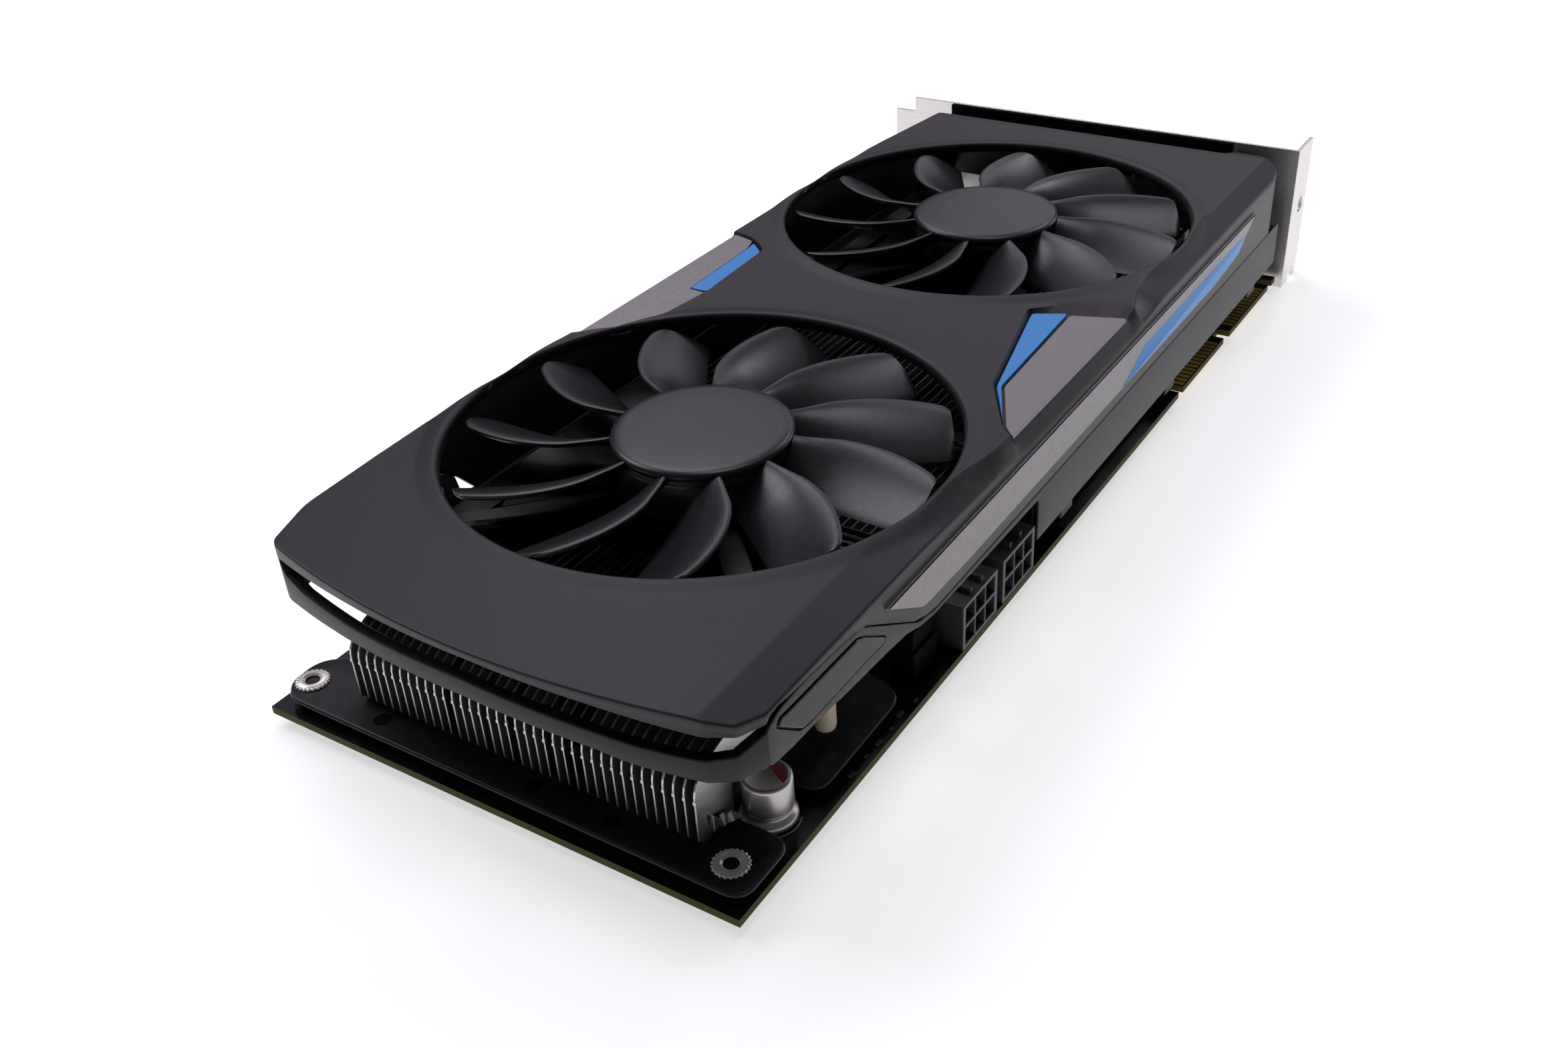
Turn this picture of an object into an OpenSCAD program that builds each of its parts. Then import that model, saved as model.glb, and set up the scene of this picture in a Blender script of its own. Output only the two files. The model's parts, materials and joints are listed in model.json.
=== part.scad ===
// Dual-slot graphics card lying on its back with both fans facing up.
// Card coordinates: X runs from the open end to the bracket, Y from the power edge to the slot edge,
// Z up, zero at the board's top surface and at the power-edge corner of the open end.
// card() carries them to the part's own frame: the middle of its base.

/* [Board] */
// Length of the printed circuit board
board_l = 263.5; // [262:0.5:264]
// Width of the board without the contact tongue
board_w = 102.9; // [102:0.1:103.5]
// Thickness of the board
board_t = 1.57; // [1.4:0.01:1.7]
// How far leads and bracket reach below the board
stand_h = 2.3; // [2:0.1:2.6]
// Depth of the edge contact tongue
tongue_h = 8.25; // [7:0.05:8.5]

/* [Fans] */
// Distance between the two fan axes
fan_pitch = 121; // [119:0.5:122]
// Place of the first fan axis along the card
fan_1_x = 72.6; // [71:0.1:74]
// Place of both fan axes across the card
fan_y = 54.4; // [54:0.1:55]
// Radius over the blade tips
tip_r = 47.4; // [45:0.1:48]
// Radius of the fan hub
hub_r = 17.65; // [17:0.05:19]
// Number of blades on each fan
blades = 11; // [7:1:13]
// Height of the hub's crown above the board
hub_top = 34.8; // [34.5:0.1:35]
// Radius of the fan shaft
shaft_r = 1.5; // [1.2:0.1:1.6]
// Running clearance around the shaft
shaft_gap = 0.05; // [0.02:0.01:0.08]

/* [Shroud] */
// Height of the shroud's top face above the board
shroud_top = 34.5; // [34:0.1:34.6]
// Radius of each fan opening
opening_r = 49.3; // [49:0.1:49.6]
// Wall thickness of the mouldings
wall = 2; // [1.6:0.1:2.2]
// Radius of the bowed open end, seen from above
bow_r = 190; // [170:1:220]
// How far the bow stands out past the board
bow_out = 1.1; // [0.5:0.1:1.5]
// Where the far end of the shroud stops
shroud_end = 264.5; // [262:0.1:265]

/* [Cooler] */
// Pitch of the cooling fins
fin_pitch = 2; // [2:0.1:2.1]
// Thickness of one fin
fin_t = 0.4; // [0.3:0.05:0.5]
// Height of the fins' top edge above the board
fin_top = 19.5; // [18:0.1:19.5]
// Radius of a heat pipe
pipe_r = 4; // [3:0.1:4]

/* [Bracket] */
// Width of the dual-slot bracket
bracket_w = 38.7; // [38:0.1:39]
// Thickness of the bracket's sheet
sheet_t = 1; // [0.8:0.1:1.1]
// Length of the bracket's screw flange
flange_l = 11.4; // [11:0.1:12]

/* [Hidden] */
$fn = 48;

// Places worked out from the driving sizes
bracket_in = 265.7;
bracket_out = bracket_in + sheet_t;
flange_y = -0.5;
tail_y = 119;
x_low = -bow_out;
x_high = bracket_out + flange_l;
y_low = flange_y - sheet_t;
base_z = -board_t - stand_h;
fan_2_x = fan_1_x + fan_pitch;
bow_y = 47;
plate_z = 1.8;
plate_top = 2.8;
insert_y = [5.82, 98.49];
insert_x = 6.74;
hole_r = 1.25;
gpu = [165, 52];
pipe_z = 8.4;
pipe_y = [40, 52, 64];
fin_y0 = 12;
fin_count = 38;
arm_z = 21.2;
arm_t = 1.4;
blade_z = 33.2;
blade_drop = 9;
lead_r = 0.45;
frame_split = 31.4;
lug_angles = [-45, 45, 135, 225];
charcoal = [0.23, 0.22, 0.24];
near_black = [0.07, 0.07, 0.08];
accent_blue = [0.25, 0.55, 0.85];
strip_grey = [0.63, 0.62, 0.63];

// ---------- helpers ----------

// Moves card coordinates into the part's own frame.
module card() {
  translate([-(x_low + x_high) / 2, -(y_low + tail_y) / 2, -base_z]) children();
}

// A block given by its two opposite corners.
module block(a, b) {
  translate(a) cube(b - a);
}

// A flat prism with rounded upright edges.
module rounded(a, b, r) {
  translate([0, 0, a.z]) linear_extrude(b.z - a.z) union() {
    translate([a.x + r, a.y]) square([b.x - a.x - 2 * r, b.y - a.y]);
    translate([a.x, a.y + r]) square([b.x - a.x, b.y - a.y - 2 * r]);
    for (x = [a.x + r, b.x - r], y = [a.y + r, b.y - r]) translate([x, y]) circle(r);
  }
}

// An outline in X and Z, extruded along Y from y0 to y1.
module side_prism(points, y0, y1) {
  translate([0, y1, 0]) rotate([90, 0, 0]) linear_extrude(y1 - y0) polygon(points);
}

// An upright rod from z0 to z1.
module rod(x, y, z0, z1, r) {
  translate([x, y, z0]) cylinder(h = z1 - z0, r = r);
}

// An upright ring from z0 to z1.
module ring(z0, z1, r_in, r_out) {
  difference() {
    translate([0, 0, z0]) cylinder(h = z1 - z0, r = r_out);
    translate([0, 0, z0 - 1]) cylinder(h = z1 - z0 + 2, r = r_in);
  }
}

// The plan of the shroud's open end from above: a shallow bow with a cut corner on each side.
module end_plan(inset) {
  intersection() {
    translate([bow_r - bow_out, bow_y]) circle(bow_r - inset, $fn = 96);
    polygon([[-5, 96.6], [5.6 + inset * 0.6, 98 - inset * 0.6], [17.3 + inset * 0.3, 102.1 - inset],
      [35.6, 103.3 - inset], [50, 104.3 - inset], [60, 104.3 - inset], [60, inset], [11 + inset * 0.5, inset],
      [6 + inset * 0.8, 2 + inset * 0.7], [3.4 + inset, 6 + inset * 0.3], [-5, 8.4]]);
  }
}

module at_fans() {
  for (x = [fan_1_x, fan_2_x]) translate([x, fan_y, 0]) children();
}

// ---------- board ----------

// Positions where the cooler and the baseplate bolt through the board.
cooler_holes = [for (dx = [-26.5, 26.5], dy = [-26.5, 26.5]) gpu + [dx, dy]];
plate_holes = [[62, 97], [118, 97], [122, 9.5], [212, 9.5], [212, 96], [246, 30], [246, 80]];
bracket_tab_y = [70.5, 96];

module pcb() {
  card() color([0.05, 0.06, 0.06]) difference() {
    union() {
      block([0, 0, -board_t], [board_l, board_w, 0]);
      block([135.3, board_w - 1, -board_t], [206.95, board_w + tongue_h, 0]);
      block([208.85, board_w - 1, -board_t], [220.5, board_w + tongue_h, 0]);
      block([118, board_w - 1, -board_t], [129.5, board_w + 4.4, 0]);
    }
    for (x = [188.5, 221, 257.5]) block([x, -1, -3], [x + 3, 3, 1]);
    block([221, -1, -3], [225.5, 3, 1]);
    for (y = insert_y) rod(insert_x, y, -3, 1, 1.9);
    for (p = cooler_holes) rod(p.x, p.y, -3, 1, 1.6);
    for (p = plate_holes) rod(p.x, p.y, -3, 1, 1.5);
    for (y = bracket_tab_y) rod(bracket_in - 4.5, y, -3, 1, 1.5);
    for (p = lead_places) rod(p.x, p.y, -3, 1, lead_r + 0.05);
    for (p = pin_places) block([p.x - 0.55, p.y - 0.55, -3], [p.x + 0.55, p.y + 0.55, 1]);
  }
}

module slot_contacts() {
  card() color([0.72, 0.58, 0.22]) for (side = [0, 1]) for (i = [0 : 81])
    if (i != 70 && i != 71) translate([136.1 + i, board_w + 1.5, side == 0 ? 0 : -board_t - 0.05])
      cube([0.7, 6, 0.05]);
}

module bridge_contacts() {
  card() color([0.72, 0.58, 0.22]) for (x0 = [192.2, 228.7], z = [0, -board_t - 0.05], i = [0 : 12])
    translate([x0 + 2 * i, 0.4, z]) cube([1.4, 5, 0.05]);
}

// ---------- bracket and sockets ----------

// Openings in the bracket, each as centre Y, centre Z, width and height.
dvi_y = 27;
hdmi_y = 82;
dp_y = 58;
port_z = 5.8;
upper_z = 22.5;
port_d = 12;

module io_bracket() {
  card() color([0.62, 0.6, 0.56]) difference() {
    union() {
      block([bracket_in, y_low, base_z], [bracket_out, 112.6, base_z + bracket_w]);
      block([bracket_in, y_low, base_z], [x_high, flange_y, base_z + bracket_w]);
      for (z = [base_z + 9.2, base_z + 29.5])
        block([bracket_in, 112, z - 5.1], [bracket_out, tail_y, z + 5.1]);
      for (y = bracket_tab_y) block([bracket_in - 8, y - 3.4, 0], [bracket_in + 0.2, y + 3.4, 1]);
    }
    for (z = [port_z, upper_z])
      block([bracket_in - 1, dvi_y - 12.4, z - 4.6], [x_high, dvi_y + 12.4, z + 4.6]);
    for (z = [port_z, upper_z], s = [-1, 1]) translate([bracket_in - 1, dvi_y + 16.4 * s, z])
      rotate([0, 90, 0]) cylinder(h = 3, r = 1.8);
    block([bracket_in - 1, hdmi_y - 7.6, port_z - 2.9], [x_high, hdmi_y + 7.6, port_z + 2.9]);
    block([bracket_in - 1, dp_y - 8.2, port_z - 2.9], [x_high, dp_y + 8.2, port_z + 2.9]);
    for (y = [48 : 6 : 102]) block([bracket_in - 1, y, 15.5], [bracket_out + 1, y + 3, 30]);
    for (z = [base_z + 1.4, base_z + 21.7]) translate([bracket_out + 6.4, y_low - 1, z])
      rotate([-90, 0, 0]) cylinder(h = 3, r = 2.2);
    block([bracket_out + 4.2, y_low - 1, base_z - 1], [bracket_out + 8.6, 0, base_z + 1.4]);
    for (y = bracket_tab_y) rod(bracket_in - 4.5, y, -1, 2, 1.3);
  }
}

module dvi_socket(z) {
  card() color([0.75, 0.74, 0.7]) union() {
    difference() {
      block([bracket_in - port_d, dvi_y - 12.3, z - 4.5], [bracket_out + 0.6, dvi_y + 12.3, z + 4.5]);
      block([bracket_out - 5.4, dvi_y - 11.7, z - 3.9], [bracket_out + 2, dvi_y + 11.7, z + 3.9]);
    }
    block([bracket_out - 5.4, dvi_y - 10.6, z - 2.4], [bracket_out - 4.6, dvi_y + 10.6, z + 2.4]);
    block([bracket_in - port_d, dvi_y - 18, z - 3], [bracket_in, dvi_y - 12.3, z + 3]);
    block([bracket_in - port_d, dvi_y + 12.3, z - 3], [bracket_in, dvi_y + 18, z + 3]);
  }
}

module dvi_socket_lower() {
  dvi_socket(port_z);
  card() color([0.75, 0.74, 0.7])
    block([bracket_in - port_d, dvi_y - 12.3, 0], [bracket_in, dvi_y + 12.3, port_z - 4.5]);
}

module dvi_socket_upper() {
  dvi_socket(upper_z);
  card() color([0.75, 0.74, 0.7])
    block([bracket_in - port_d, dvi_y - 12.3, port_z + 4.5], [bracket_in, dvi_y + 12.3, upper_z - 4.5]);
}

// A board-mounted socket whose mouth fills one bracket opening, with a tongue inside.
module flat_socket(y, half_w, depth) {
  card() color([0.75, 0.74, 0.7]) union() {
    difference() {
      block([bracket_in - depth, y - half_w, 0], [bracket_out + 0.4, y + half_w, port_z + 2.8]);
      block([bracket_out - 8, y - half_w + 0.5, port_z - 2.3],
        [bracket_out + 2, y + half_w - 0.5, port_z + 2.3]);
      block([bracket_in, y - half_w - 1, -1], [bracket_out + 2, y + half_w + 1, port_z - 2.8]);
    }
    block([bracket_out - 8.2, y - half_w + 2, port_z - 2.3], [bracket_out - 7, y + half_w - 2, port_z - 1.5]);
  }
}

module hdmi_socket() flat_socket(hdmi_y, 7.5, 11);
module display_port_socket() flat_socket(dp_y, 8.1, 13);

module dvi_jack_screws() {
  card() color([0.7, 0.7, 0.7]) for (z = [port_z, upper_z], s = [-1, 1])
    translate([bracket_in - 6, dvi_y + 16.4 * s, z]) rotate([0, 90, 0]) {
      translate([0, 0, 6 + sheet_t]) difference() {
        cylinder(h = 4.6, r = 2.7, $fn = 6);
        translate([0, 0, 1]) cylinder(h = 5, r = 1.2);
      }
      translate([0, 0, 6]) cylinder(h = sheet_t, r = 1.7);
    }
}

module bracket_screws() {
  card() color([0.5, 0.5, 0.5]) for (y = bracket_tab_y) {
    rod(bracket_in - 4.5, y, -1, 1, 1.3);
    rod(bracket_in - 4.5, y, 1, 2.6, 2.4);
  }
}

// ---------- chips and power parts ----------

module gpu_package() {
  card() color([0.1, 0.24, 0.16])
    block([gpu.x - 20, gpu.y - 20, 0], [gpu.x + 20, gpu.y + 20, 1.3]);
}

module gpu_die() {
  card() color([0.35, 0.36, 0.4])
    block([gpu.x - 10.5, gpu.y - 9.6, 1.3], [gpu.x + 10.5, gpu.y + 9.6, 2.1]);
}

// Memory chips stand on three sides of the processor, each as a centre.
memory_places = concat([for (x = [145, 165, 185]) [x, 86]], [for (x = [145, 185]) [x, 18]],
  [for (y = [34, 52, 70]) [202, y]]);

module memory_chips() {
  card() color(near_black) for (p = memory_places)
    block([p.x - 7, p.y - 6, 0], [p.x + 7, p.y + 6, 1.1]);
}

module controller_chips() {
  card() color(near_black) {
    block([110, 62, 0], [117, 69, 0.9]);
    block([108, 82, 0], [113, 88, 0.9]);
    block([14, 22, -board_t - 0.9], [21, 29, -board_t]);
    block([226, 88, 0], [234, 94, 1]);
    block([96, 46, -board_t - 0.9], [103, 53, -board_t]);
  }
}

can = [21, 8.2];
choke_y = [for (i = [0 : 5]) 20 + 13 * i];
lead_places = concat([for (y = choke_y, s = [-1, 1]) [51 + 3.5 * s, y]],
  [for (y = choke_y, s = [-1, 1]) [35, y + 1.8 * s]], [for (s = [-1, 1]) [can.x + 1.8 * s, can.y]],
  [for (i = [0 : 3]) [64.5 + 2 * i, 6.5]]);

module power_chokes() {
  card() color([0.3, 0.3, 0.31]) for (y = choke_y) {
    rounded([46, y - 5, 0], [56, y + 5, 6.6], 1);
    for (s = [-1, 1]) rod(51 + 3.5 * s, y, base_z, 0, lead_r);
  }
}

module mosfets() {
  card() color(near_black) for (y = choke_y, x = [62, 69])
    block([x - 3, y - 2.6, 0], [x + 3, y + 2.6, 0.9]);
}

module solid_capacitors() {
  card() color([0.7, 0.7, 0.72]) for (y = choke_y) {
    rod(35, y, 0, 8, 4);
    for (s = [-1, 1]) rod(35, y + 1.8 * s, base_z, 0, lead_r);
  }
}

module can_capacitor() {
  card() color([0.78, 0.78, 0.8]) translate([can.x, can.y, 0]) {
    rotate_extrude() polygon([[0, 0], [4.6, 0], [4.9, 0.5], [4.9, 1.4], [4.3, 2], [4, 2.5], [4.3, 3.1],
      [4.3, 8.6], [3.9, 9], [0, 9]]);
    for (s = [-1, 1]) translate([1.8 * s, 0, base_z]) cylinder(h = -base_z, r = lead_r);
  }
}

// One six-pin socket, three columns by two rows, with its mouth at the power edge.
socket_w = 14.2;
pin_pitch = 4.2;
socket_d = 12.5;

module power_socket(x) {
  card() color(near_black) union() {
    difference() {
      block([x, 0, 0], [x + socket_w, socket_d, 10]);
      for (i = [-1, 0, 1], j = [-1, 1]) translate([x + socket_w / 2 + pin_pitch * i, 0, 5 + 2.25 * j]) {
        block([-1.85, -1, -1.85], [1.85, 9, 1.85]);
        block([-0.6, 8, -0.6], [0.6, socket_d + 1, 0.6]);
      }
    }
    for (s = [-1, 1]) translate([x + socket_w / 2 + 2.2 * s, 0, 10]) block([-0.5, 0.8, 0], [0.5, 9, 1.2]);
  }
}

socket_a_x = 74.4;
socket_b_x = 91.2;
pin_places = [for (x = [socket_a_x, socket_b_x], i = [-1, 0, 1], j = [-1, 1])
  [x + socket_w / 2 + pin_pitch * i, 14.5 + j]];
module power_socket_a() power_socket(socket_a_x);
module power_socket_b() power_socket(socket_b_x);

module power_pins() {
  card() color([0.8, 0.78, 0.6]) for (x = [socket_a_x, socket_b_x], i = [-1, 0, 1], j = [-1, 1])
    translate([x + socket_w / 2 + pin_pitch * i, 0, 0]) {
      block([-0.5, 2.5, 5 + 2.25 * j - 0.5], [0.5, 15 + j, 5 + 2.25 * j + 0.5]);
      block([-0.5, 14 + j, base_z], [0.5, 15 + j, 5 + 2.25 * j + 0.5]);
    }
}

// ---------- fan header, plug and leads ----------

module fan_header() {
  card() color([0.85, 0.84, 0.8]) {
    difference() {
      block([63, 4, 0], [72, 9, 5.5]);
      block([63.6, 4.6, 1], [71.4, 8.4, 6]);
    }
    for (i = [0 : 3]) rod(64.5 + 2 * i, 6.5, base_z, 4.5, 0.3);
  }
}

module fan_plug() {
  card() color(near_black) difference() {
    block([63.7, 4.7, 4.6], [71.3, 8.3, 9.5]);
    for (i = [0 : 3]) rod(64.5 + 2 * i, 6.5, 4, 5, 0.4);
  }
}

// Each lead climbs out of the plug and bends in under the fan frame.
lead_route = [[0, 0, 9.5], [0, 0, 12], [0.2, 0.6, 14.5], [0.4, 1.5, 17], [0.6, 3, 19.5], [0.6, 5, 21.3],
  [0.6, 8, 22], [0.4, 12, 22.2], [0.2, 20, 22.2], [0, 30.6, 22.2]];
lead_sides = 8;
lead_wire_r = 0.55;

function lead_dir(p, i) = let (a = p[max(i - 1, 0)], b = p[min(i + 1, len(p) - 1)]) (b - a) / norm(b - a);
function lead_ring(p, i) = let (d = lead_dir(p, i), u = [1, 0, 0] - d.x * d, v = cross(d, u / norm(u)))
  [for (k = [0 : lead_sides - 1]) p[i] + lead_wire_r * (cos(360 * k / lead_sides) * u / norm(u)
    + sin(360 * k / lead_sides) * v)];

module lead(p) {
  n = lead_sides;
  last = len(p) - 1;
  rings = [for (i = [0 : last]) each lead_ring(p, i)];
  walls = [for (i = [0 : last - 1], k = [0 : n - 1])
    [i * n + k, i * n + (k + 1) % n, (i + 1) * n + (k + 1) % n, (i + 1) * n + k]];
  caps = [[for (k = [n - 1 : -1 : 0]) k], [for (k = [0 : n - 1]) last * n + k]];
  polyhedron(rings, concat(walls, caps));
}

module fan_leads() {
  card() color([0.12, 0.12, 0.13]) for (i = [0 : 3]) translate([64.5 + 2 * i, 6.5, 0]) lead(lead_route);
}

// ---------- cooler ----------

module baseplate() {
  card() color(charcoal) difference() {
    union() {
      translate([0, 0, plate_z]) linear_extrude(plate_top - plate_z) difference() {
        union() {
          polygon([[1.3, 4], [1.3, 98.6], [4.9, 102.2], [12, 102.2], [16, 97], [240, 99], [250.5, 92],
            [250.5, 16], [240, 3.4], [115, 3.4], [110, 16], [60, 16], [55, 2.3], [30.3, 2.1], [28, 3.4],
            [27, 6], [27, 13.6], [15.6, 13.6], [15.6, 4], [14.6, 1.4], [12.6, 0.3], [5.2, 0.2], [2.6, 1.4]]);
          for (y = insert_y) translate([insert_x, y]) circle(5);
        }
        translate([24, 12.6]) square([34, 80]);
        translate([gpu.x - 30, gpu.y - 25.5]) square([60, 51]);
      }
      for (y = insert_y) rod(insert_x, y, 0, plate_top, 4);
      for (p = plate_holes) rod(p.x, p.y, 0, plate_top, 3);
    }
    for (y = insert_y) rod(insert_x, y, -1, plate_top + 1, 2.1);
    for (p = plate_holes) rod(p.x, p.y, -1, plate_top + 1, 1.2);
    for (p = cooler_holes) rod(p.x, p.y, -1, plate_top + 1, 1.8);
  }
}

module threaded_inserts() {
  card() color([0.78, 0.76, 0.72]) for (y = insert_y) translate([insert_x, y, 0]) difference() {
    union() {
      translate([0, 0, 0.1]) cylinder(h = plate_top - 0.1, r = 2.1);
      translate([0, 0, plate_top]) cylinder(h = 0.6, r = 3);
    }
    translate([0, 0, -1]) cylinder(h = 6, r = hole_r);
  }
}

module baseplate_screws() {
  card() color([0.25, 0.25, 0.26]) for (p = plate_holes) {
    rod(p.x, p.y, -board_t, plate_top - 0.2, 1.2);
    rod(p.x, p.y, -board_t - 1.4, -board_t, 2.4);
  }
}

module thermal_pads() {
  card() color([0.55, 0.6, 0.66]) {
    for (p = memory_places) if (abs(p.x - gpu.x) > 30 || abs(p.y - gpu.y) > 30)
      block([p.x - 6.5, p.y - 5.5, 1.1], [p.x + 6.5, p.y + 5.5, plate_z]);
    block([59, 16, 0.9], [72, 90, plate_z]);
  }
}

module pipe_runs(r, x0, x1) {
  for (y = pipe_y) translate([x0, y, pipe_z]) rotate([0, 90, 0]) cylinder(h = x1 - x0, r = r);
}

module cold_plate() {
  card() color([0.72, 0.45, 0.3]) difference() {
    block([gpu.x - 29, gpu.y - 24.5, 2.1], [gpu.x + 29, gpu.y + 24.5, 6.4]);
    pipe_runs(pipe_r, gpu.x - 40, gpu.x + 40);
  }
}

module heat_pipes() {
  card() color([0.74, 0.74, 0.76]) {
    pipe_runs(pipe_r, 80, 234);
    for (y = pipe_y, x = [80, 234]) translate([x, y, pipe_z]) sphere(pipe_r);
  }
}

module fin_base() {
  card() color([0.72, 0.72, 0.74]) difference() {
    block([76, fin_y0 - 0.2, 2.8], [240, fin_y0 + fin_pitch * (fin_count - 1) + 0.2, pipe_z - pipe_r]);
    block([gpu.x - 29.2, gpu.y - 24.7, 1], [gpu.x + 29.2, gpu.y + 24.7, 8]);
    block([70, 10, 1], [socket_clear_x, socket_clear_y, 8]);
    for (p = cooler_holes) rod(p.x, p.y, 1, 8, 1.3);
  }
}

// Every fin has a stepped lower edge that clears the parts on the board, and a swept-back open end.
socket_clear_x = 107.6;
socket_clear_y = 16.8;
fin_low = pipe_z - pipe_r;
over_pipe = [[238.2, fin_low], [238.2, pipe_z + pipe_r], [76, pipe_z + pipe_r], [76, 9.4]];
over_socket = [[socket_clear_x, fin_low], [socket_clear_x, 12], [72, 12], [72, 9.4]];
over_plate = [[194.6, fin_low], [194.6, 6.6], [135.4, 6.6], [135.4, fin_low], [76, fin_low], [76, 9.4]];
function fin_low_edge(y) = y < socket_clear_y ? over_socket
  : min([for (p = pipe_y) abs(y - p)]) < pipe_r + fin_t ? over_pipe : over_plate;

function fin_foot(y) = y < can.y + 5.2 ? 16.6 : 24;
function fin_outline(y) = concat([[fin_foot(y), 9.4], [fin_foot(y), 3], [8.2, 3], [7, 4.4], [7, 13.5],
  [7.25, 14.6], [8, 15.8], [9.4, 17], [11.8, 18.3], [14.8, 19.2], [17, fin_top], [240, fin_top], [240, fin_low]], fin_low_edge(y));

module fin_stack() {
  card() color([0.8, 0.8, 0.81]) for (i = [0 : fin_count - 1]) {
    y = fin_y0 + fin_pitch * i;
    side_prism(fin_outline(y), y - fin_t / 2, y + fin_t / 2);
  }
}

module cooler_springs() {
  card() color([0.8, 0.8, 0.8]) for (p = cooler_holes) translate([p.x, p.y, 0])
    ring(-board_t - 0.9, -board_t, 1.7, 2.6);
}

module cooler_screws() {
  card() color([0.3, 0.3, 0.31]) for (p = cooler_holes) {
    rod(p.x, p.y, -board_t - 0.9, pipe_z - pipe_r, 1.3);
    rod(p.x, p.y, -board_t - 2.2, -board_t - 0.9, 3);
  }
}

// ---------- shroud ----------

slot_split = 15.4;
corner_y = 15.5;
post_x = [32.5, 112, 242];
post_y = 4.2;
function post_low(x) = x < 57 ? 23 : 17.1;
badge_outline = [[95.7, 0.9], [99, 4.8], [113.6, 13.6], [147.4, 21.4], [151.4, 13.8], [155.4, 0.9]];
slot_outline = [[93, 103.9], [99, 96.5], [109, 91.4], [125, 89.6], [150, 91], [155, 97], [157, 103.9]];

// Cross-section in Y and Z: a flat roof, a slope down to the power side, and one wall on each side.
module roof_section(t, low_power, low_slot) {
  polygon([[0, low_power], [0, 32.4], [7, shroud_top], [102.6, shroud_top], [104, 33.2], [104, low_slot],
    [104 - t, low_slot], [104 - t, shroud_top - t], [7.6, shroud_top - t], [t, 32.4 - t * 0.7],
    [t, low_power]]);
}

module roof_run(x0, x1, t, low_power, low_slot) {
  translate([x0, 0, 0]) rotate([90, 0, 90]) linear_extrude(x1 - x0) roof_section(t, low_power, low_slot);
}

// A lug that hangs below the roof and carries one arm of a fan frame.
module lug(a) {
  rotate([0, 0, a]) {
    block([52.8, -4, arm_z - 1.5], [54.8, 4, shroud_top - wall + 0.1]);
    block([49, -4, arm_z - 1.5], [54.8, 4, arm_z]);
  }
}

module shroud_shell() {
  difference() {
    union() {
      roof_run(x_low, 24, wall, frame_split, frame_split);
      roof_run(24, shroud_end, wall, 17.4, slot_split);
      for (x = post_x) rod(x, post_y, post_low(x), 32.8, 1.9);
      block([x_low, 1, 32.5], [3, 103, shroud_top - 0.1]);
    }
    side_prism([[x_low - 1, 0], [x_low - 1, frame_split], [22, frame_split], [38, 30.1], [57, 18.6],
      [63, 17.4], [63, 0]], -1, wall);
    side_prism([[x_low - 1, 0], [x_low - 1, frame_split], [22, frame_split], [38, 30.1], [53, 21],
      [58, slot_split], [58, 0]], 101.9, 110);
    side_prism([[250, 40], [250, shroud_top], [258.5, shroud_top], [shroud_end + 1, 29], [280, 40]],
      corner_y, 110);
    translate([0, 0, 10]) linear_extrude(30) polygon([[228, 104.5], [228, 103.4], [257.3, 100.6],
      [shroud_end + 1, 99.4], [shroud_end + 1, 104.5]]);
    translate([0, 0, 10]) linear_extrude(30) difference() {
      translate([-5, -5]) square([60, 115]);
      end_plan(0);
      translate([54, -6]) square([2, 117]);
    }
    translate([0, 0, 10]) linear_extrude(30) polygon([[250, -1], [250, 0], [255, 1], [259, 3.4], [262.4, 7],
      [264, 11], [shroud_end, 15], [270, 15], [270, -1]]);
    at_fans() translate([0, 0, 10]) cylinder(h = 30, r = opening_r, $fn = 96);
    translate([0, 0, shroud_top - 1.2]) linear_extrude(5) polygon(badge_outline);
    translate([0, 0, shroud_top - 1.2]) linear_extrude(5) polygon(slot_outline);
  }
}

// Soft lip around each opening.
module lip() {
  rotate_extrude($fn = 96) polygon([[opening_r, 32.2], [opening_r, 33.6], [opening_r + 0.8, 34.3],
    [opening_r + 2, 34.5], [opening_r + 2, 32.2]]);
}

module shroud() {
  card() color(charcoal) union() {
    shroud_shell();
    difference() {
      at_fans() lip();
      block([0, 103.95, 10], [280, 120, 40]);
      block([80, -1, shroud_top - 1.2], [160, 30, 40]);
      block([80, 88, shroud_top - 1.2], [160, 120, 40]);
    }
    at_fans() for (a = lug_angles) lug(a);
  }
}

band_top = 27.6;
band_low = 23.6;
band_end = 12;
skirt_top = 17.2;
skirt_low = 5.5;

// The skirt along the slot side, thinned to a ring that follows the bowed plan at the open end.
module slot_skirt() {
  intersection() {
    side_prism([[10, band_low], [10, 31.2], [22, 31.2], [38, 29.9], [52.6, 21], [53.6, 16.8],
      [58, slot_split - 0.5], [260, slot_split - 0.5], [260, 6], [49, 6], [49, 20.3], [30, 20.9],
      [12, 21.8]], 95, 106);
    translate([0, 0, 5]) linear_extrude(30) union() {
      difference() {
        end_plan(0);
        end_plan(wall);
      }
      translate([50, 102]) square([211, 2]);
    }
  }
}

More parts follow.
